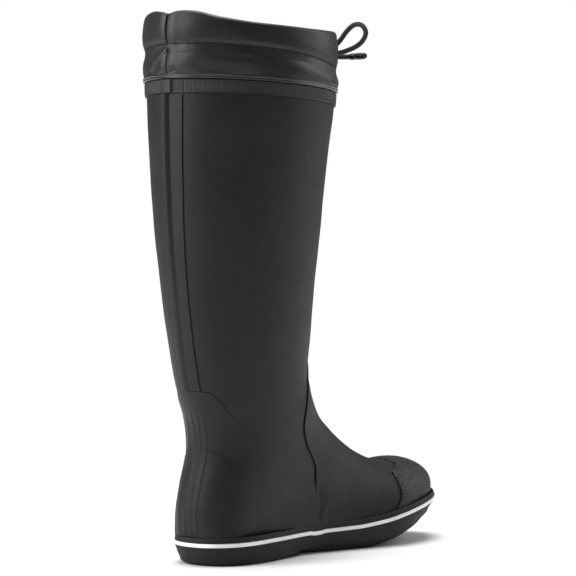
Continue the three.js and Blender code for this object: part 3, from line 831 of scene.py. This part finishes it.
# Rows follow the sections, from the peak at the shin to the toe cap
def makeVamp(s):
    top = lastGood(lambda t: surface(t, 0).z > s["peak"], 4.0, ankleRow + 1.0, 24)[1]
    ends = {}

    def place(u, w):
        across = 2 * u - 1
        side = 1 if across >= 0 else -1
        if u not in ends:
            ends[u] = span(lambda p: inside(vampRegion, p.y, p.z), lambda a, t: a * vampTurn(side, t),
                           across, s["firstRow"], toeEnd)[1]
        t = top + (ends[u] - top) * w
        turn = across * vampTurn(side, t)
        point = surface(t, turn)
        low = eased(1 - (point.z - s["fadeLow"]) / (s["fadeHigh"] - s["fadeLow"]))
        bySeam = eased(1 - (1 - abs(across)) / s["sinkShare"])
        bySeam *= eased(1 - (point.y - s["sinkFrom"]) / s["sinkOver"])
        skin = softDent(point) + footFlare(point)
        dip = s["endSink"] * eased((w - s["endFrom"]) / s["endShare"])
        return lifted(t, turn, boot["gap"] + skin - dip - s["sink"] * low * bySeam)

    bm = gridMesh(s["across"], s["along"], place)
    obj = piece("vamp_rubber", bm, matte, nodes=["vamp"])
    return walled(obj, s["wall"], s["edge"])


# Even spacing over the round toe, measured from its foremost point
def capPlace(p, s):
    out = (p - Vector(s["centre"])).normalized()
    flat = max(math.hypot(out.x, out.z), 1e-6)
    reach = s["radius"] * math.acos(max(min(out.y, 1), -1))
    return reach * out.x / flat, reach * out.z / flat


def makeToeCap(s):
    def liftOf(t, turn, p):
        grain = knurl(*capPlace(p, s), s["pitch"])
        calm = eased((p.z - stripeMiddle(p.y) - s["calmFrom"]) / s["calmOver"])
        return boot["gap"] + softDent(p) + s["height"] * (grain - 0.5) * calm + footFlare(p)

    def test(p):
        return inside(capOutline, p.y, p.z)

    bm = overlay(s["across"], s["along"], test, frontTurn, (-1, 1), *s["rows"], liftOf)
    obj = piece("toe_cap_rubber", bm, knurled, nodes=["toe_cap"])
    return walled(obj, s["wall"], s["edge"])


def heelRidges(point, s):
    top = eased((s["ridgeTop"] - point.z) / s["ridgeTopFade"])
    foot = eased((point.z - s["ridgeFoot"]) / s["ridgeFootFade"])
    return s["ridgeHeight"] * top * foot * sum(gaussian(point.x - x, s["ridgeWidth"]) for x in s["ridges"])


def makeCounter(s):
    def test(p):
        return inside(counterOutline, p.y, p.z) and aboveFoxing(p)

    def liftOf(t, turn, p):
        sink = s["sink"] * eased((p.y - s["sinkFrom"]) / s["sinkOver"])
        return softDent(p) + footFlare(p) + heelRidges(p, s) - s["down"] - sink

    bm = overlay(s["across"], s["along"], test, backTurn, (-s["reach"], s["reach"]), *s["rows"], liftOf)
    obj = piece("heel_counter_rubber", bm, matte, nodes=["heel_counter"])
    return walled(obj, s["wall"], s["edge"])


def makePatch(s, under):
    def test(p):
        return inside(patchOutline, p.y, p.z) and aboveFoxing(p)

    def liftOf(t, turn, p):
        sink = s["sink"] + under["sink"] * eased((p.y - under["sinkFrom"]) / under["sinkOver"])
        skin = softDent(p) + footFlare(p) + s["ridgeShare"] * heelRidges(p, under)
        return under["wall"] - s["down"] + skin - sink * eased((p.y - s["sinkFrom"]) / s["sinkOver"])

    bm = overlay(s["across"], s["along"], test, backTurn, (-s["reach"], s["reach"]), *s["rows"], liftOf)
    obj = piece("heel_patch_rubber", bm, matte, nodes=["heel_patch"])
    return walled(obj, s["wall"], s["edge"])


makeVamp(vamp)
makeToeCap(toeCap)
makeCounter(counter)
makePatch(patch, counter)
print("overlays made")

backStrip = {
    "across": 70, "along": 200, "top": 11, "lastRow": 7.5, "wall": 0.6, "edge": 0.25,
    "half": [(120, 10.5), (222, 10.5), (290, 12), (360, 13.3)],
    "crest": (-4.6, -2.2), "left": 3.0, "right": 4.2,
    "ribHeight": 2.6, "lowShare": 0.45, "growFrom": 150, "growOver": 160,
}


def makeBackStrip(s):
    top, stop = rowAt(boot["leg"] - s["top"]), s["lastRow"]

    def turnOf(u, t):
        half = valueAt(s["half"], section(t)[1])
        return math.pi - math.asin(max(min(u * half / section(t)[5], 1), -1))

    def test(p):
        return p.z < boot["leg"] and not inside(counterOutline, p.y - 0.3, p.z - 0.3)

    def rib(x, z):
        left, right = s["crest"]
        if x < left:
            high = eased(1 - (left - x) / s["left"])
        elif x > right:
            high = eased(1 - (x - right) / s["right"])
        else:
            high = 1
        grown = eased((z - s["growFrom"]) / s["growOver"])
        return s["ribHeight"] * high * (s["lowShare"] + (1 - s["lowShare"]) * grown)

    bm = overlay(s["across"], s["along"], test, turnOf, (-1, 1), top, stop,
                 lambda t, turn, p: boot["gap"] + softDent(p) + rib(p.x, p.z))
    bmesh.ops.recalc_face_normals(bm, faces=bm.faces)
    if sum(f.normal.y for f in bm.faces) > 0:
        bmesh.ops.reverse_faces(bm, faces=bm.faces)
    obj = piece("back_strip_rubber", bm, matte, nodes=["back_strip"])
    return walled(obj, s["wall"], s["edge"])


makeBackStrip(backStrip)
print("back strip made")

topBand = {
    "around": 1000, "along": 24, "height": 10, "girth": 73, "edge": 0.25,
    "pitch": 2.1, "depth": 0.7, "rim": 0.9,
    "joint": 14.5, "jointDepth": 0.5, "jointWidth": 0.5,
    "ribMiddle": -1, "ribHalf": 4.5, "ribHeight": 1.6,  # plain and raised over the back rib
}
piping = {
    "around": 260, "rise": 0.3,
    # out, up
    "profile": [(-0.9, 0.3), (1.5, 0.1), (2.5, 0.9), (2, 1.8), (2.6, 2.8), (1.6, 3.7), (-0.9, 3.4)],
}
rowHeight = rows[0][1] - rows[1][1]  # of the straight part above the rim


def makeTopBand(s):
    low, high = rowAt(boot["leg"] - s["height"]), rowAt(boot["leg"] - 0.2)

    def place(u, w):
        turn = u * 2 * math.pi
        t = high + (low - high) * w
        around, up = turn * s["girth"], w * s["height"]
        rim = eased(min(up, s["height"] - up) / s["rim"])
        joint, knurledPart = 0, 1
        if math.cos(turn) < 0:
            x = surface(t, turn).x
            joint = s["jointDepth"] * gaussian(x - s["joint"], s["jointWidth"])
            knurledPart = eased(abs(x - s["ribMiddle"]) - s["ribHalf"])
        raised = s["ribHeight"] * (1 - knurledPart)
        grain = s["depth"] * (knurl(around, up, s["pitch"]) - 0.5) * rim * knurledPart
        return lifted(t, turn, boot["gap"] + grain - joint + raised)

    bm = gridMesh(s["around"], s["along"], place)
    obj = piece("top_band_rubber", bm, knurled, nodes=["top_band"])
    return walled(obj, boot["overlay"], s["edge"])


def makePiping(s):
    profile = smoothLine(s["profile"], steps=4, closed=True)
    count = len(profile)

    def place(u, w):
        out, up = profile[round(w * count) % count]
        return lifted(1 - (up + s["rise"]) / rowHeight, u * 2 * math.pi, out)

    bm = gridMesh(s["around"], count, place)
    bmesh.ops.recalc_face_normals(bm, faces=bm.faces)
    return piece("rim_piping_bead", bm, glossy, nodes=["rim_piping"])


makeTopBand(topBand)
makePiping(piping)
print("rim made")

gaiter = {
    "around": 440, "panelAlong": 52, "hemAlong": 96, "cloth": 0.8, "edge": 0.2, "girth": 67, "crowd": 0.72,
    "panelLow": 3.6, "panelOut": 0.3, "panelTuck": 0.5, "panelBulge": 1.6, "stitchGap": 0.35,
    "hemTop": 51.2, "hemOut": 1.7, "hemIn": -4.0, "hemBulge": 0.9, "hemFlat": 0.45, "hole": 3.4,
    "valley": 2.2, "valleyWidth": 0.5, "shoulder": 0.8, "shoulderAt": 5, "pucker": 0.3, "puckerWidth": 3.5,
    "stitches": 150, "threadOut": 0.35,
    "stitchRise": [(0, 17.5), (45, 18.5), (66, 20.5), (91, 23.5), (110, 25.2), (124, 25.8), (138, 26.2),
                   (166, 26.2), (180, 26.6), (188, 26.7), (205, 25.2), (250, 24), (300, 20), (360, 17.5)],
    "topWave": [(0, -3.5), (45, -3.2), (70, -5.6), (90, -7), (122, -7), (144, -4.1), (158, -0.4), (166, 0.4),
                (173, 0.2), (180, -1.4), (187, 0.2), (197, 1.6), (212, 0.2), (240, -2), (300, -2), (330, -3),
                (360, -3.5)],
    "creases": [
        # from (mm round from the back seam, height), to, width, height
        ((1, 25), (-18, 9), 2.0, 1.5),
        ((-2, 24), (-30, 17), 3.4, -1.1),
        ((3, 4), (7, 7), 2.6, -1.7),
        ((4, 24), (62, 15), 7.0, 1.1),
        ((60, 24), (84, 8), 7.0, -0.8),
        ((150, 22), (136, 6), 7.0, 1.0),
        ((176, 25), (168, 8), 6.0, -1.2),
        ((-60, 24), (-72, 7), 6.0, 0.9),
        ((-110, 22), (-96, 6), 7.0, -1.0),
        ((-150, 25), (-158, 8), 6.0, 0.9),
        ((-186, 24), (-176, 8), 6.0, -0.9),
    ],
}


def alongCrease(point, start, end):
    a, b = Vector(start), Vector(end)
    k = min(max((point - a).dot(b - a) / (b - a).length_squared, 0), 1)
    return (point - a.lerp(b, k)).length


# Soft swells, puckers at the stitch line and creases, all still at the front, where the cord comes out
def clothWave(turn, rise, s):
    around = (turn - math.pi) * s["girth"]
    here = Vector((-around, rise))
    swell = 0
    for start, end, width, height in s["creases"]:
        swell += height * gaussian(alongCrease(here, start, end), width)
    ring = Vector((math.cos(turn), math.sin(turn), rise * 0.03))
    soft = 0.9 * noise.noise(ring * 2.3) + 0.25 * noise.noise(ring * 5 + Vector((3, 1, 0)))
    stitch = valueAt(s["stitchRise"], math.degrees(turn))
    near = gaussian(rise - stitch, s["puckerWidth"])
    pucker = s["pucker"] * near * noise.noise(Vector((around * 0.22, 3.3, rise * 0.05)))
    calm = eased(abs(math.atan2(math.sin(turn), math.cos(turn))) / 0.35 - 0.35)
    return (swell + soft + pucker) * calm


# The back seam draws the cloth in between two soft shoulders
def seamValley(around, s):
    shoulder = s["shoulder"] * gaussian(abs(around) - s["shoulderAt"], s["shoulderAt"])
    return -s["valley"] * gaussian(around, s["valleyWidth"]) + shoulder


# Columns lie closer together by the back seam
def nearSeam(u):
    return 2 * math.pi * u + gaiter["crowd"] * math.sin(2 * math.pi * u)


def gaiterPoint(turn, rise, lift):
    return lifted(1 - rise / rowHeight, turn, lift)


def makePanel(s):
    def place(u, w):
        turn = nearSeam(u)
        stitch = valueAt(s["stitchRise"], math.degrees(turn)) - s["stitchGap"]
        rise = stitch + (s["panelLow"] - stitch) * w
        level = (rise - s["panelLow"]) / (stitch - s["panelLow"])
        around = (turn - math.pi) * s["girth"]
        tuck = s["panelTuck"] * eased((level - 0.6) / 0.4)
        bulge = s["panelBulge"] * math.sin(math.pi * min(level * 1.25 + 0.12, 1))
        wave = eased(level / 0.12) * (clothWave(turn, rise, s) + seamValley(around, s))
        return gaiterPoint(turn, rise, s["panelOut"] - tuck + bulge + wave)

    bm = gridMesh(s["around"], s["panelAlong"], place)
    obj = piece("gaiter_panel_cloth", bm, gaiterCloth, nodes=["gaiter_panel"])
    walled(obj, s["cloth"], s["edge"])
    return obj


def makeHem(s):
    radius = (s["hemOut"] - s["hemIn"]) / 2
    flat = s["hemFlat"]  # share of the rows on each side of the fold

    def place(u, w):
        turn = nearSeam(u)
        stitch = valueAt(s["stitchRise"], math.degrees(turn)) + s["stitchGap"]
        tall = s["hemTop"] + valueAt(s["topWave"], math.degrees(turn)) - radius - stitch
        around = (turn - math.pi) * s["girth"]
        if w > 1 - flat:
            k = (1 - w) / flat
            rise, lift, outside = stitch + tall * k, s["hemOut"], 1
        elif w > flat:
            k, outside = 1, (w - flat) / (1 - 2 * flat)
            rise = stitch + tall + radius * math.sin(outside * math.pi)
            lift = (s["hemOut"] + s["hemIn"]) / 2 - radius * math.cos(outside * math.pi)
        else:
            k = w / flat
            rise, lift, outside = stitch + tall * k, s["hemIn"], 0
        pinch = 1 - eased(k / 0.22)
        wave = clothWave(turn, rise, s)
        lift += pinch * (-0.8 if outside > 0.5 else 1.0)
        lift += outside * (s["hemBulge"] * math.sin(math.pi * k) + wave * 0.8 + seamValley(around, s))
        lift += (1 - outside) * wave * 0.5
        return gaiterPoint(turn, rise, lift)

    bm = gridMesh(s["around"], s["hemAlong"], place)
    holes = [metres(c) for c in eyeletCentres]
    cut = [f for f in bm.faces if any((f.calc_center_median() - h).length < s["hole"] * mm for h in holes)
           and f.calc_center_median().y > holes[0].y - 0.003]
    bmesh.ops.delete(bm, geom=cut, context="FACES")
    obj = piece("gaiter_hem_cloth", bm, gaiterCloth, nodes=["gaiter_hem"])
    walled(obj, s["cloth"], s["edge"], offset=-1)
    return obj


# Short raised threads along the hem's foot
def makeStitches(s):
    bm = bmesh.new()
    thread = Matrix.Diagonal((1.0, 0.34, 0.34, 1))
    for i in range(s["stitches"]):
        turn = (i + 0.5) / s["stitches"] * 2 * math.pi
        rise = valueAt(s["stitchRise"], math.degrees(turn))
        here = gaiterPoint(turn, rise, s["threadOut"] + 0.6 * clothWave(turn, rise, s))
        turnAhead = turn + 0.01
        ahead = gaiterPoint(turnAhead, valueAt(s["stitchRise"], math.degrees(turnAhead)), s["threadOut"])
        made = bmesh.ops.create_icosphere(bm, subdivisions=1, radius=1)
        direction = (ahead - here).normalized().to_track_quat("X", "Z").to_matrix().to_4x4()
        bmesh.ops.transform(bm, matrix=Matrix.Translation(here) @ direction @ thread, verts=made["verts"])
    for vert in bm.verts:
        vert.co = metres(vert.co)
    return piece("gaiter_stitching", bm, threadBlack)


makePanel(gaiter)
makeHem(gaiter)
makeStitches(gaiter)
print("gaiter made")

def makeEyelets(s):
    for name, centre in zip(("inner", "outer"), eyeletCentres):
        profile = [(radius, along, 0) for radius, along in smoothLine(s["profile"], steps=3, closed=True)]
        bm = turnedMesh(profile, True, (0, 1, 0), s["steps"], centre)
        piece("eyelet_ring_" + name, bm, eyeletMetal, nodes=["eyelet_" + name])


makeEyelets(eyelet)
print("eyelets made")

# The sole's outline from above, x and y
outlineRows = [
    (0, 0), (17, 4), (30, 17), (36, 38), (34.5, 68), (30, 98), (30, 125), (36, 155), (42.5, 185), (45.5, 210),
    (43, 234), (35, 256), (21, 275), (4, 284), (-13, 281), (-29, 268), (-42, 245), (-49.5, 218), (-51.5, 190),
    (-48, 158), (-43, 125), (-39.5, 95), (-38, 65), (-36.5, 38), (-30, 17), (-17, 4),
]
soleCount = 360
outline = [(x, y, 0) for x, y in smoothLine(outlineRows, steps=14, closed=True)]
solePath = evenly(outline, soleCount, True)[0]


def soleEdge(i, inset):
    here = solePath[i % soleCount]
    ahead = (solePath[(i + 2) % soleCount] - solePath[(i - 2) % soleCount]).normalized()
    return Vector((here.x - ahead.y * inset, here.y + ahead.x * inset, 0))


# A ring round the sole; profileAt(y, i) gives its closed section, as inset and height
def soleRing(name, profileAt, count, material, nodeName):
    profiles = {}

    def place(u, w):
        i = round(u * soleCount) % soleCount
        if i not in profiles:
            profiles[i] = profileAt(solePath[i].y, i)
        inset, height = profiles[i][round(w * count) % count]
        edge = soleEdge(i, inset)
        return Vector((edge.x, edge.y, height))

    bm = gridMesh(soleCount, count, place)
    bmesh.ops.recalc_face_normals(bm, faces=bm.faces)
    return piece(name, bm, material, nodes=[nodeName])


def closedSection(corners):
    return smoothLine(corners, steps=5, closed=True)


foxing = {
    "stripe": 3, "top": 4, "back": 5.2, "behind": 2.8,
    "taper": 2.6, "taperHeel": 4.2, "heelEnds": 60, "taperToe": 5.6, "toeFrom": 200, "toeOver": 60,
    "lean": 0.5, "leanToe": 0.7, "leanFrom": 225, "leanOver": 45,
    "low": [(0, 1.8), (14, 1), (60, 0.9), (82, 1.4), (99, 3.2), (104, 4.5), (125, 5.3), (150, 4.9),
            (165, 4.7), (180, 5.2), (203, 8), (215, 10.8), (227, 14), (236, 16.6), (246, 19.4), (258, 21.8),
            (284, 25.5)],
    "jog": 0.75, "lap": (110, 125), "lapFade": 3,
}


def taperAt(y):
    heel = (foxing["taperHeel"] - foxing["taper"]) * eased(1 - y / foxing["heelEnds"])
    toe = (foxing["taperToe"] - foxing["taper"]) * eased((y - foxing["toeFrom"]) / foxing["toeOver"])
    return foxing["taper"] + heel + toe


def backAt(y):
    return max(foxing["back"], taperAt(y) + foxing["behind"])


# The stripe dips a little where its ends overlap, on the inner side
def bandMiddle(y, i):
    start, end = foxing["lap"]
    lap = eased((y - start) / foxing["lapFade"]) * eased((end - y) / foxing["lapFade"])
    return stripeMiddle(y) - (foxing["jog"] * lap if solePath[i].x > 0 else 0)


def lowerSection(y, i):
    top = bandMiddle(y, i) - foxing["stripe"] / 2 - 0.15
    low = valueAt(foxing["low"], y)
    taper = taperAt(y)
    back = backAt(y)
    tall = top - low
    return closedSection([
        (0.9, top), (0.45, top - 0.3), (taper * 0.3, top - tall * 0.22), (taper * 0.62, top - tall * 0.5),
        (taper, low + tall * 0.24), (taper + 0.5, low + 1.2), (taper + 1.3, low + 0.35), (taper + 2.2, low),
        (back + 0.9, low + 0.4), (back + 0.3, low + 2.5), (back, (top + low) / 2), (back - 1, top - 0.5),
        (3.0, top)])


def stripeSection(y, i):
    middle, half = bandMiddle(y, i), foxing["stripe"] / 2
    proud = -0.15
    return closedSection([
        (0.3, middle + half), (proud, middle + half - 0.45), (proud - 0.05, middle),
        (proud, middle - half + 0.45), (0.3, middle - half), (1.5, middle - half + 0.05),
        (2.6, middle - half + 0.05), (2.7, middle), (2.6, middle + half - 0.05), (1.5, middle + half - 0.05)])


def upperSection(y, i):
    low = bandMiddle(y, i) + foxing["stripe"] / 2 + 0.15
    top = low + foxing["top"]
    lean = foxing["lean"] + foxing["leanToe"] * eased((y - foxing["leanFrom"]) / foxing["leanOver"])
    return closedSection([
        (0.35, low), (0.05, low + 0.5), (lean * 0.5, (low + top) / 2), (lean, top - 0.7), (lean + 0.6, top),
        (1.8, top - 0.1), (2.5, top - 0.8), (2.6, (low + top) / 2), (2.6, low + 0.4), (1.5, low + 0.05)])


soleRing("foxing_band_lower", lowerSection, 60, tread, "foxing_lower")
soleRing("foxing_band_stripe", stripeSection, 50, white, "foxing_stripe")
soleRing("foxing_band_upper", upperSection, 50, tread, "foxing_upper")
print("foxing made")

outsole = {
    "rounds": 74, "bottomShare": 0.6, "cornerShare": 0.15, "inset": 0.7, "thickness": 6,
    "toePast": 6, "toeFrom": 205, "toeOver": 50,
    "channel": [(17, 1.3), (25, 1.2)], "depth": 1.5,  # in from the edge, half width
    "heelFront": 102, "heelLift": 3, "archFront": 150,
    "centreFrom": 42, "centreTo": 238,
    "centre": [(0, 0), (60, -1.5), (110, -6), (190, -4.5), (240, -4), (284, -4)],
}


# The line that the tread's rounds shrink to
def centreLine(y):
    y = min(max(y, outsole["centreFrom"]), outsole["centreTo"])
    return Vector((valueAt(outsole["centre"], y), y, 0))


def soleBottom(y):
    arch = 0
    if outsole["heelFront"] < y < outsole["archFront"]:
        k = (y - outsole["heelFront"]) / (outsole["archFront"] - outsole["heelFront"])
        arch = outsole["heelLift"] * (1 - eased(k))
    return underside(y) + arch


# A slab of the sole; past is how much further in its lower edge lies than its upper one
def slab(name, bottomAt, topAt, past, nodeName, channels, cutAt=None):
    rounds, bottomShare, cornerShare = outsole["rounds"], outsole["bottomShare"], outsole["cornerShare"]

    def place(u, w):
        i = round(u * soleCount) % soleCount
        y = solePath[i].y
        insetHigh = backAt(y) + outsole["inset"]
        toe = eased((y - outsole["toeFrom"]) / outsole["toeOver"])
        insetLow = insetHigh + past + outsole["toePast"] * toe
        if w < bottomShare:
            k = w / bottomShare
            edge = soleEdge(i, insetLow)
            centre = centreLine(edge.y)
            point = centre.lerp(edge, k)
            toEdge = (edge - point).length + insetLow
            groove = 0
            for at, half in channels:
                groove = max(groove, 1 - eased(abs(toEdge - at) / half - 0.4))
            point.z = bottomAt(point.y) + groove * outsole["depth"] * eased(k / 0.2)
            return point
        if w < bottomShare + cornerShare:
            k = (w - bottomShare) / cornerShare
            edge = soleEdge(i, insetLow + (insetHigh - insetLow) * math.sin(k * math.pi / 2))
            low, high = bottomAt(edge.y), topAt(edge.y)
            edge.z = low + (high - low) * (1 - math.cos(k * math.pi / 2))
            return edge
        k = (w - bottomShare - cornerShare) / (1 - bottomShare - cornerShare)
        edge = soleEdge(i, insetHigh)
        centre = centreLine(edge.y)
        point = edge.lerp(centre, k)
        point.z = topAt(point.y)
        return point

    bm = gridMesh(soleCount, rounds, place)
    if cutAt:
        bmesh.ops.bisect_plane(bm, geom=bm.verts[:] + bm.edges[:] + bm.faces[:], dist=1e-6, clear_outer=True,
                               plane_co=metres((0, cutAt, 0)), plane_no=(0, 1, 0))
        bmesh.ops.holes_fill(bm, edges=[e for e in bm.edges if e.is_boundary], sides=0)
    bmesh.ops.recalc_face_normals(bm, faces=bm.faces)
    return piece(name, bm, tread, nodes=[nodeName])


def makeOutsole(s):
    def bottomAt(y):
        return s["heelLift"] if y < s["heelFront"] else soleBottom(y)

    slab("outsole_rubber", bottomAt, lambda y: underside(y) + s["thickness"], 2.4, "outsole", s["channel"])
    slab("heel_lift_rubber", lambda y: 0.0, lambda y: s["heelLift"] - 0.3, 1.0, "heel_lift", s["channel"],
         s["heelFront"] - 0.3)


makeOutsole(outsole)
print("outsole made")

footbed = {"rounds": 40, "inset": 9.5, "thickness": 4.4, "raised": 3.6, "cup": 2.2, "cupEnd": 150}


def makeFootbed(s):
    low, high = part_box("footbed")

    def place(u, w):
        i = round(u * soleCount) % soleCount
        edge = soleEdge(i, s["inset"])
        centre = centreLine(edge.y)
        if w < 0.5:
            k = w / 0.5
            point = centre.lerp(edge, k)
            cup = s["cup"] * eased((k - 0.55) / 0.45) * eased(1 - point.y / s["cupEnd"])
            height = s["thickness"] * (1 - eased((k - 0.86) / 0.14) * 0.6) + cup
        else:
            k = (w - 0.5) / 0.5
            point = edge.lerp(centre, k)
            height = s["thickness"] * 0.4 * (1 - eased(k / 0.14))
        point.z = rubberFloor(point.y) + s["raised"] + height
        return point

    bm = gridMesh(soleCount, s["rounds"] * 2, place)
    bmesh.ops.recalc_face_normals(bm, faces=bm.faces)
    for vert in bm.verts:
        vert.co.y = min(max(vert.co.y, low.y), high.y)
        vert.co.x = min(max(vert.co.x, low.x), high.x)
    obj = piece("footbed_pad", bm, footbedFelt, "footbed", ["footbed"])
    return obj


makeFootbed(footbed)
print("footbed made")

# Hidden pieces keep their own meshes
kept = {
    "sole_filler": soleFoam, "insole_board": boardFibre, "toe_stiffener": stiffener,
    "heel_stiffener": stiffener, "drawcord_in_hem": cordBraid,
}
for nodeName, material in kept.items():
    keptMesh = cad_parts[nodeName].data
    keptMesh.materials.clear()
    keptMesh.materials.append(material)

studio = {
    "floor": (0.93, 0.93, 0.93), "floorHalf": 12, "world": 0.24, "fadeFrom": 0.25, "fadeTo": 0.7,
    "aim": (0, 0, 0.2),
    "lights": [
        # place, size, power
        ("leftPanel", (-0.9, -1.6, 1.1), (0.9, 1.8), 38),
        ("farPanel", (0.9, 1.9, 1.2), (0.8, 1.8), 16),
        ("topPanel", (-0.2, 0.1, 2.4), (1.6, 1.6), 62),
    ],
}


# Pale near the boot, and white like the background further out
def floorPaint(s):
    mat, tree, bsdf = newMaterial("floor", s["floor"], 0.7)
    out = tree.nodes["Material Output"]
    where = tree.nodes.new("ShaderNodeTexCoord")
    distance = tree.nodes.new("ShaderNodeVectorMath")
    distance.operation = "LENGTH"
    tree.links.new(where.outputs["Object"], distance.inputs[0])
    fade = tree.nodes.new("ShaderNodeMapRange")
    fade.interpolation_type = "SMOOTHSTEP"
    fade.inputs["From Min"].default_value, fade.inputs["From Max"].default_value = s["fadeFrom"], s["fadeTo"]
    tree.links.new(distance.outputs["Value"], fade.inputs["Value"])
    seen = tree.nodes.new("ShaderNodeLightPath")
    both = tree.nodes.new("ShaderNodeMath")
    both.operation = "MULTIPLY"
    tree.links.new(fade.outputs["Result"], both.inputs[0])
    tree.links.new(seen.outputs["Is Camera Ray"], both.inputs[1])
    glow = tree.nodes.new("ShaderNodeEmission")
    mix = tree.nodes.new("ShaderNodeMixShader")
    tree.links.new(both.outputs["Value"], mix.inputs[0])
    tree.links.new(bsdf.outputs[0], mix.inputs[1])
    tree.links.new(glow.outputs[0], mix.inputs[2])
    tree.links.new(mix.outputs[0], out.inputs["Surface"])
    return mat


def makeStudio(s):
    world = bpy.context.scene.world or bpy.data.worlds.new("studio")
    bpy.context.scene.world = world
    world.use_nodes = True
    background = world.node_tree.nodes["Background"]
    background.inputs["Color"].default_value = (1, 1, 1, 1)
    seen = world.node_tree.nodes.new("ShaderNodeLightPath")  # white behind, softer as a light
    strength = world.node_tree.nodes.new("ShaderNodeMapRange")
    strength.inputs["To Min"].default_value = s["world"]
    strength.inputs["To Max"].default_value = 1.0
    world.node_tree.links.new(seen.outputs["Is Camera Ray"], strength.inputs["Value"])
    world.node_tree.links.new(strength.outputs["Result"], background.inputs["Strength"])
    floorMaterial = floorPaint(s)
    bm = bmesh.new()
    bmesh.ops.create_grid(bm, x_segments=1, y_segments=1, size=s["floorHalf"])
    mesh = bpy.data.meshes.new("floor")
    bm.to_mesh(mesh)
    bm.free()
    mesh.materials.append(floorMaterial)
    floor = bpy.data.objects.new("floor", mesh)
    bpy.context.collection.objects.link(floor)
    for name, place, size, power in s["lights"]:
        data = bpy.data.lights.new(name, "AREA")
        data.shape = "RECTANGLE"
        data.size, data.size_y = size
        data.energy = power
        lamp = bpy.data.objects.new(name, data)
        bpy.context.collection.objects.link(lamp)
        lamp.location = place
        lamp.rotation_euler = (Vector(s["aim"]) - Vector(place)).to_track_quat("-Z", "Y").to_euler()
    bpy.context.scene.view_settings.view_transform = "Standard"


makeStudio(studio)
print("studio made")

bpy.context.view_layer.update()
